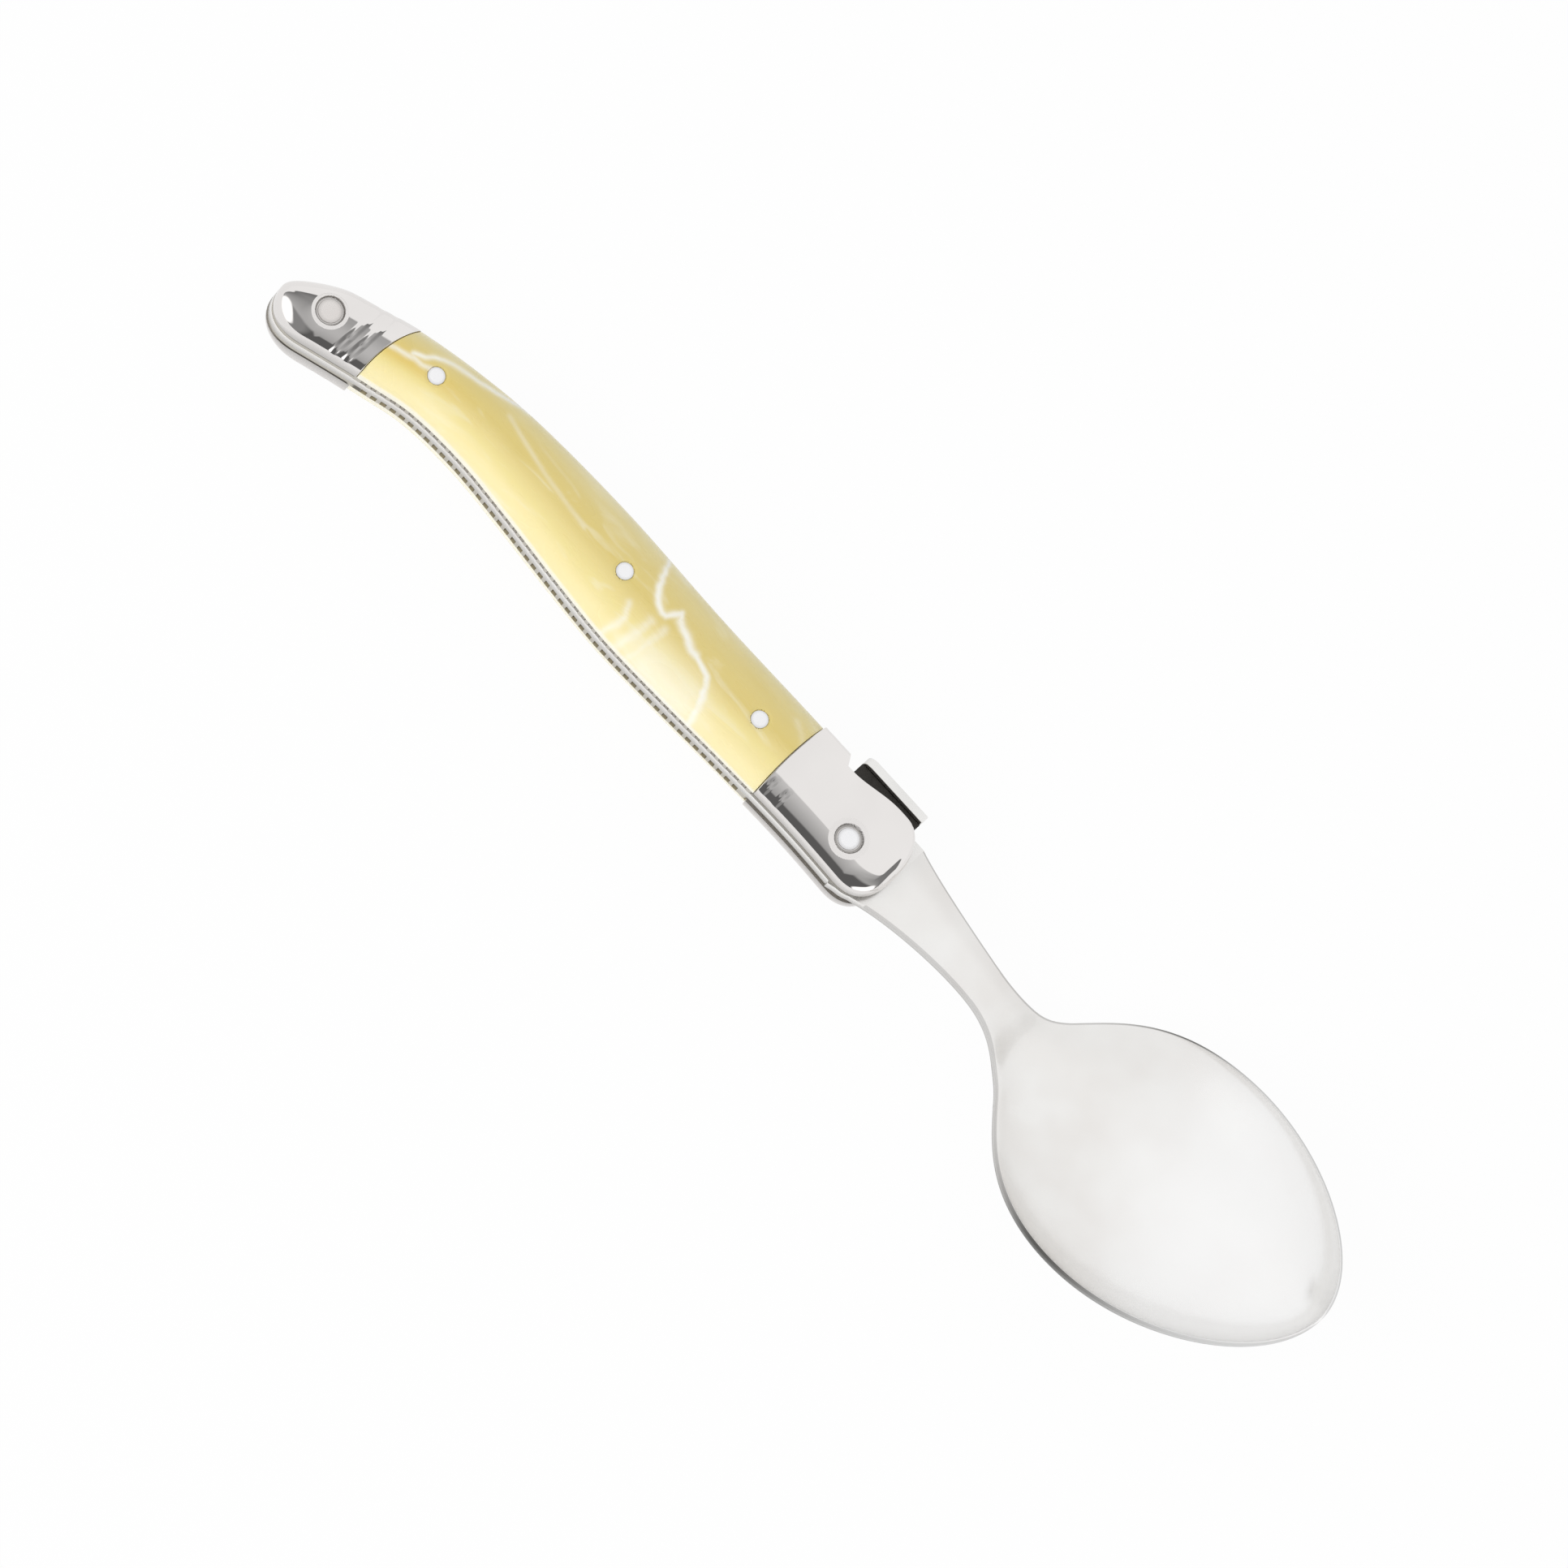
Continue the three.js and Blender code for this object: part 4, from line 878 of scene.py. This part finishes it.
def scale_grid():
    def rear_line(y):
        return rear_joint_at(y, JOINT_GAP)

    def front_line(y):
        return front_joint_at(y, JOINT_GAP)

    places = stations(
        [REAR_JOINT + BEVEL_STATIONS, FRONT_JOINT - BEVEL_STATIONS],
        [(REAR_JOINT, FRONT_JOINT, SCALE_SPACING)]
        + [near(x, PIN_REACH, PIN_SPACING) for x, y in PINS], TOP_DIGITS)
    x, y, z = crown_grid(
        places,
        [(REAR_JOINT, rear_line, REAR_JOINT_REACH), (FRONT_JOINT, front_line, REAR_JOINT_REACH)],
        SCALE_POINTS,
        lambda x: (scale_wall(x), scale_wall(x)),
        lambda x: scale_wall(x) + SCALE_CROWN,
        lambda x: half_width(x) * SCALE_SHOULDER,
        lambda x: 0,
        lambda x, y: bevel_inset(x - rear_line(y)) + bevel_inset(front_line(y) - x),
    )
    for px, py in PINS:
        far = np.hypot(x - px, y - py)
        z = z - DIP_DEPTH * bell(far, PIN_RADIUS + DIP_OFFSET, DIP_WIDTH)
        z = z - PIN_SINK * (far < PIN_RADIUS - PIN_MARGIN)
    return x, y, z


# Pale veins of each scale: strength, half width, and a line of (place along, share across)
NEAR_VEINS = [
    (1, 0.38, [(50.6, 1.02), (51.1, 0.87), (51.5, 0.78), (52.3, 0.65), (53.3, 0.56), (54.3, 0.52),
               (55, 0.53), (55.5, 0.6), (55.9, 0.67), (56.3, 0.61), (57.2, 0.57), (58.1, 0.55)]),
    (1, 0.52, [(56.5, 0.6), (57.2, 0.57), (58.1, 0.55), (58.9, 0.51), (59.6, 0.48), (60.3, 0.48)]),
    (1, 0.38, [(60.3, 0.48), (61.6, 0.45), (62.7, 0.42), (63.4, 0.36), (64, 0.26)]),
    (0.9, 0.55, [(63.9, 0.28), (64.7, 0.15), (65.2, 0.03), (65.3, 0)]),
    (0.95, 0.36, [(15.2, 0.58), (16.3, 0.63), (17.2, 0.71), (17.9, 0.76), (19.6, 0.8),
                  (22.6, 0.83), (25.6, 0.9), (28.2, 1)]),
    (0.8, 0.36, [(12.4, 0.5), (14.3, 0.51), (15.8, 0.53), (16.7, 0.51), (17.9, 0.54)]),
    (0.35, 0.3, [(27.3, 0.73), (30.9, 0.62), (34.4, 0.55), (38.4, 0.51), (41.8, 0.49)]),
    (0.6, 0.45, [(51.2, 0.34), (52, 0.22), (52, 0.13), (51.5, 0)]),
    (0.5, 0.6, [(54.3, 0.38), (54.1, 0.17), (53.7, 0)]),
    (0.5, 0.6, [(56, 0.42), (55.9, 0.2), (55.6, 0)]),
    (0.25, 0.4, [(73.1, 0.78), (74.9, 0.69), (76.2, 0.55)]),
    (0.6, 2.8, [(57.8, 0.08), (62.6, 0.1)]),
]
FAR_VEINS = [
    (0.9, 0.34, [(22.4, 0), (23.2, 0.2), (24.9, 0.38), (27.5, 0.45), (30.3, 0.42), (33.2, 0.5),
                 (34.8, 0.66), (36.9, 0.74), (38.2, 0.9), (38.6, 1)]),
    (0.7, 0.3, [(30.3, 0.42), (30.9, 0.3), (30.6, 0.2)]),
    (0.7, 0.32, [(48, 0.93), (52.4, 0.8), (56.1, 0.55), (59.8, 0.48), (64, 0.3), (67.2, 0.27),
                 (70.5, 0.12), (71.4, 0)]),
    (0.45, 0.3, [(56.1, 0.55), (61.4, 0.66), (67, 0.7), (74.6, 0.84)]),
    (0.4, 0.35, [(14.2, 1), (16.5, 0.7), (17.4, 0.4), (19.6, 0.25)]),
    (0.35, 0.4, [(41.5, 0.35), (44, 0.16), (44.6, 0)]),
]
# Waves that unsettle the veins: height, and turn for each millimetre along and across
VEIN_WAVES = [(0.07, 2.3, 1.9), (0.05, -3.1, 4.3)]


def vein_mask(x, y, veins):
    """How much of a pale vein lies at each point of a scale."""
    wavy = x + sum(rise * np.sin(a * x + b * y) for rise, a, b in VEIN_WAVES)
    mask = np.zeros(x.shape)
    for strength, width, line in veins:
        places = np.array(line, float)
        belly, back = edges_at(places[:, 0])
        knots = np.column_stack([places[:, 0], belly + places[:, 1] * (back - belly)])
        nearest = np.full(x.shape, np.inf)
        for a, b in zip(knots[:-1], knots[1:]):
            run, dx, dy = b - a, wavy - a[0], y - a[1]
            share = np.clip((dx * run[0] + dy * run[1]) / (run @ run), 0, 1)
            nearest = np.minimum(nearest, np.hypot(dx - share * run[0], dy - share * run[1]))
        mask = np.maximum(mask, strength * bell(nearest, 0, width))
    return mask


scale_x, scale_y, scale_z = scale_grid()
belly, back = edges_at(scale_x)
across = (scale_y - belly) / (back - belly)
deep = DEEP_SHARE * (1 - smooth(scale_x, *DEEP_RUN)) * bell(across, DEEP_PLACE, DEEP_REACH)
# The inner face takes painted shade where it shows through the notches
inner = np.minimum(scale_y - belly, back - scale_y) > INNER_MARGIN
points, faces = crowned(np.stack([scale_x, scale_y, scale_z], axis=-1), LINER_FACE)
for side, mirror, veins in (("near", False, NEAR_VEINS), ("far", True, FAR_VEINS)):
    made = piece("Scale" + side.title(), points, faces, ["scale_" + side], "marbled_grip", grip,
                 mirror)
    mask = vein_mask(scale_x, scale_y, veins)
    for title, values in (("Across", across), ("Vein", mask), ("Deep", deep)):
        shade(made, title, np.concatenate([values, values[:, ::-1]], axis=1))
    shade(made, "Inner", np.concatenate([inner * 0, inner[:, ::-1]], axis=1))


# ---- rivets and pins
# Painted shade on the heads' edges, and where it starts as a share of the head's radius
EDGE_SHADE, EDGE_START = 0.4, 0.7


def headed(shank, head, under, top, dome):
    """Profile of a rivet with a domed head at both ends."""
    turn = np.linspace(0, math.pi / 2, 6)
    flat = head - HEAD_EDGE
    upper = [(share * flat, top - dome * share * share) for share in (0, 0.25, 0.5, 0.75)]
    upper += [(flat + HEAD_EDGE * math.sin(a), top - dome - HEAD_EDGE * (1 - math.cos(a)))
              for a in turn]
    if head > shank:
        upper += [(head, under), (shank, under)]
    return upper + [(r, -h) for r, h in reversed(upper)]


def fastener(name, place, node, material, profile, head):
    """A rivet or pin whose head takes painted shade towards its edge."""
    made = piece(name, *turned(profile, place), [node], "rivet_steel", material)
    points = np.array([v.co for v in made.data.vertices]) / MM - BENCH
    far = np.hypot(points[:, 0] - place[0], points[:, 1] - place[1])
    shade(made, "PaintedShade", EDGE_SHADE * smooth(far, EDGE_START * head, head))


for name, place, (head, *_), plateau, material in (
    ("front", FRONT_RIVET, FRONT_SEAT, FRONT_PLATEAU, rivet_steel),
    ("rear", REAR_RIVET, REAR_SEAT, REAR_PLATEAU, shaded_rivet_steel),
):
    under = plateau - RING_DEPTH
    profile = headed(SHANK, head, under, under + HEAD_HEIGHT, RIVET_DOME)
    fastener(name.title() + "Rivet", place, name + "_rivet", material, profile, head)
for name, place in zip(("rear", "middle", "front"), PINS):
    top = LINER_FACE + scale_wall(place[0]) + SCALE_CROWN
    profile = headed(PIN_RADIUS, PIN_RADIUS, 0, top, PIN_DOME)
    fastener("Pin" + name.title(), place, "scale_pin_" + name, rivet_steel, profile, PIN_RADIUS)


# ---- fly
BEVEL_SEGMENTS, CORNER_STEPS, SEAT_STEPS = 4, 9, 25


def bevelled(name, outline, low, high, axis, node, slot, material, width):
    """A prism over an outline, with its edges rounded. axis 1 stands it along Y and 2 along Z."""
    count = len(outline)
    points = []
    for level in (low, high):
        points += [(a, level, b) if axis == 1 else (a, b, level) for a, b in outline]
    faces = [tuple(range(count)), tuple(range(2 * count - 1, count - 1, -1))]
    faces += [(k, (k + 1) % count, count + (k + 1) % count, count + k) for k in range(count)]
    made = piece(name, points, faces, [node], slot, material)
    rounded = made.modifiers.new("Rounded", "BEVEL")
    rounded.width = width * MM
    rounded.segments = BEVEL_SEGMENTS
    rounded.limit_method = "ANGLE"


half = FLY_WIDTH / 2
fly_front, fly_under = FLY_REAR + FLY_LENGTH, FLY_TOP - FLY_THICKNESS
corner = [
    (FLY_CORNER * (1 - math.sin(a)), FLY_CORNER * (1 - math.cos(a)))
    for a in np.linspace(0, math.pi / 2, CORNER_STEPS)
]
outline = [(fly_front, -half), (fly_front, half)]
outline += [(FLY_REAR + a, half - b) for a, b in corner]
outline += [(FLY_REAR + b, -half + a) for a, b in corner]
bevelled("FlyPlate", outline, fly_under, FLY_TOP, 1, "fly_plate", "polished_steel", fly_steel,
         FLY_BEVEL)
seat_x = np.linspace(FLY_REAR, fly_front, SEAT_STEPS)
outline = list(zip(seat_x.tolist(), (seat_at(seat_x) + BLOCK_GAP).tolist()))
outline += [(fly_front, fly_under), (FLY_REAR, fly_under)]
# The block under the fly plate is painted near black: painted shade in the gap under the plate
bevelled("FlyBlock", outline, -LINER_FACE, LINER_FACE, 2, "fly_block", "dark_steel", dark_steel,
         BLOCK_BEVEL)


# ---- floor
FLOOR_REACH, FLOOR_GAP = 1.5, 0.02 * MM
FLOOR_COLOUR, FLOOR_ROUGHNESS = (0.88, 0.88, 0.88, 1), 0.9
# How much of the plain white the camera sees on the floor, and how much metal and glass see
CAMERA_WHITE, MIRROR_WHITE = 0.955, 0.7
WHITE = (1, 1, 1, 1)


def stage_mesh(name, points, faces, material):
    mesh = bpy.data.meshes.new(name)
    mesh.from_pydata(points, [], faces)
    mesh.materials.append(material)
    made = linked(name, mesh)
    return made


def floor_surface():
    """Pale floor that the camera, metal and glass see partly as plain white, open from below."""
    material, tree, shader = new_material("PaleFloor")
    feed(tree, shader, {"Base Color": FLOOR_COLOUR, "Roughness": FLOOR_ROUGHNESS})
    path = add(tree, "ShaderNodeLightPath").outputs
    mirrored = maths(tree, "MAXIMUM", path["Is Glossy Ray"], path["Is Transmission Ray"])
    mirrored = maths(tree, "MULTIPLY", mirrored, MIRROR_WHITE)
    share = maths(tree, "MULTIPLY_ADD", path["Is Camera Ray"], CAMERA_WHITE, mirrored)
    plain = add(tree, "ShaderNodeEmission", None, {"Color": WHITE, "Strength": 1.0})
    mixed = add(tree, "ShaderNodeMixShader", None, {
        0: share, 1: shader.outputs["BSDF"], 2: plain.outputs["Emission"]})
    below = add(tree, "ShaderNodeBsdfTransparent")
    facing = add(tree, "ShaderNodeNewGeometry")
    surface = add(tree, "ShaderNodeMixShader", None, {
        0: facing.outputs["Backfacing"], 1: mixed.outputs[0], 2: below.outputs[0]})
    feed(tree, tree.nodes["Material Output"], {"Surface": surface.outputs[0]})
    return material


# The spoon lies on the bowl's underside and on the rear of the handle: find the line under both
corners = np.array([
    tuple(node.matrix_world @ v.co)
    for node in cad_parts.values() for v in node.data.vertices
])
hull = []
for p in corners[np.lexsort((corners[:, 2], corners[:, 0]))][:, [0, 2]]:
    while len(hull) > 1 and np.cross(hull[-1] - hull[-2], p - hull[-2]) <= 0:
        hull.pop()
    hull.append(p)
# The weight stands over the origin, so the line is the one that passes under it
right = int(np.searchsorted([p[0] for p in hull], 0.0))
(x0, z0), (x1, z1) = hull[right - 1], hull[right]
slope = (z1 - z0) / (x1 - x0)
floor_points = [
    (x, y, z0 + slope * (x - x0) - FLOOR_GAP)
    for x in (-FLOOR_REACH, FLOOR_REACH) for y in (-FLOOR_REACH, FLOOR_REACH)
]
stage_mesh("Floor", floor_points, [(0, 2, 3, 1)], floor_surface())


# ---- studio
# White dome with a grey flag on the belly's side, which only polished steel mirrors
DOME_RADIUS, DOME_STEP, DOME_FROM, DOME_TO = 0.7, 1.5, -3, 90
# The flag, by place along the spoon in metres: where it starts and where it darkens, in degrees
# off upright, then its tone at the start, in the middle and before it darkens, and at its end
FLAG = [
    ([-0.3, -0.13, -0.06, 0.015, 0.1, 0.4], [-42, -25, -21, -15, -16, -34]),
    ([-0.3, -0.15, -0.06, 0.015, 0.075, 0.1, 0.4], [20, 18, 14, 26, 7, 7, 16]),
    ([-0.3, -0.15, -0.07, -0.01, 0.02, 0.1, 0.25], [0.18, 0.34, 0.46, 0.66, 0.72, 0.4, 0.2]),
    ([-0.3, -0.07, -0.01, 0.02, 0.1, 0.25], [0.36, 0.62, 0.54, 0.5, 0.5, 0.24]),
    ([-0.3, -0.07, -0.01, 0.02, 0.1], [0.5, 0.5, 0.4, 0.4, 0.42]),
    ([-0.15, -0.05], [0.28, 0.12]),
]
EDGE_BLUR, DARK_BLUR = 0.8, 9
# A bright patch lies beyond either end of the spoon
SOFTBOX, SOFTBOX_TONE = np.array([0.83, -0.56, 0.22]), 1.35
SOFTBOX_EDGE = (math.cos(0.54), math.cos(0.44))


def dome_tone(places):
    """Light that the dome sends from each of its places."""
    x, y, z = places.T
    lean = np.degrees(np.arctan2(-y, z))
    edge, dark_from, first, middle, last, dark = [np.interp(x, *table) for table in FLAG]
    share = np.clip((lean - edge) / (dark_from - edge), 0, 1)
    grey = first + (middle - first) * np.minimum(2 * share, 1)
    grey = grey + (last - middle) * np.maximum(2 * share - 1, 0)
    grey = grey + (dark - grey) * smooth(lean, dark_from, dark_from + DARK_BLUR)
    tone = 1 + (grey - 1) * smooth(lean, edge - EDGE_BLUR, edge + EDGE_BLUR)
    for side in (-1, 1):
        toward = places @ (SOFTBOX * [side, 1, 1]) / DOME_RADIUS / np.linalg.norm(SOFTBOX)
        inside = smooth(toward, *SOFTBOX_EDGE)
        tone = tone + np.maximum(SOFTBOX_TONE - tone, 0) * inside
    return tone


turn = np.radians(np.arange(0, 360, DOME_STEP))
upward = np.radians(np.arange(DOME_FROM, DOME_TO, DOME_STEP))
dome = np.stack([
    np.outer(np.cos(upward), np.cos(turn)), np.outer(np.cos(upward), np.sin(turn)),
    np.repeat(np.sin(upward)[:, None], len(turn), axis=1),
], axis=-1) * DOME_RADIUS
index, faces = closed_grid(*dome.shape[:2])
faces.append(tuple(index[-1].tolist()))
dome = dome.reshape(-1, 3)
dome_material, tree, shader = new_material("StudioDome")
# Only a mirror finish sees the tones: rougher steel sees plain white
sharp = add(tree, "ShaderNodeLightPath").outputs["Is Singular Ray"]
glow = add(tree, "ShaderNodeEmission", None, {
    "Color": blend(tree, sharp, WHITE, attribute(tree, "Tone")), "Strength": 1.0})
feed(tree, tree.nodes["Material Output"], {"Surface": glow.outputs[0]})
flag = stage_mesh("Dome", dome.tolist(), faces, dome_material)
shade(flag, "Tone", dome_tone(dome))
flag.visible_camera = flag.visible_diffuse = False
flag.visible_shadow = flag.visible_transmission = False

SKY_LIGHT = 0.68
world = bpy.data.worlds.new("Studio")
bpy.context.scene.world = world
world.use_nodes = True
tree = world.node_tree
path = add(tree, "ShaderNodeLightPath").outputs
seen = maths(tree, "MAXIMUM", path["Is Camera Ray"], path["Is Glossy Ray"])
seen = maths(tree, "MAXIMUM", seen, path["Is Transmission Ray"])
feed(tree, tree.nodes["Background"], {
    "Color": WHITE, "Strength": spread(tree, seen, 0, 1, SKY_LIGHT, 1.0)})

KEY_DIRECTION, KEY_DISTANCE = (-0.25, -0.75, 0.75), 1.2
key_data = bpy.data.lights.new("Key", "AREA")
key_data.shape = "DISK"
key_data.size, key_data.energy = 0.9, 6
key = linked("Key", key_data)
away = Vector(KEY_DIRECTION).normalized()
key.location = away * KEY_DISTANCE
key.rotation_mode = "QUATERNION"
key.rotation_quaternion = away.to_track_quat("Z", "Y")
key.visible_glossy = False

# Camera: a long lens, 21 degrees off upright on the belly's side, turned with the spoon on the
# diagonal. The frame is the photograph's width in pixels times the millimetres of one pixel.
FRAME_WIDTH = 1932 * 0.08889
LENS, SENSOR = 300, 36
TILT, ROLL = math.radians(21), math.radians(47.5)
AIM = (77.2, -1.7956, 0)
optics = bpy.data.cameras.new("Camera")
optics.lens = LENS
optics.sensor_width = SENSOR
optics.clip_start, optics.clip_end = 0.05, 20
camera = linked("Camera", optics)
toward = Vector((0, -math.sin(TILT), math.cos(TILT)))
level_up = Vector((0, math.cos(TILT), math.sin(TILT)))
level_right = Vector((1, 0, 0))
right_axis = level_right * math.cos(ROLL) + level_up * math.sin(ROLL)
up_axis = level_up * math.cos(ROLL) - level_right * math.sin(ROLL)
aim = Vector(((np.array(AIM) + BENCH) * MM).tolist())
matrix = Matrix((right_axis, up_axis, toward)).transposed().to_4x4()
matrix.translation = aim + toward * (FRAME_WIDTH * MM * LENS / SENSOR)
camera.matrix_world = matrix
bpy.context.scene.camera = camera
bpy.context.scene.view_settings.view_transform = "Standard"
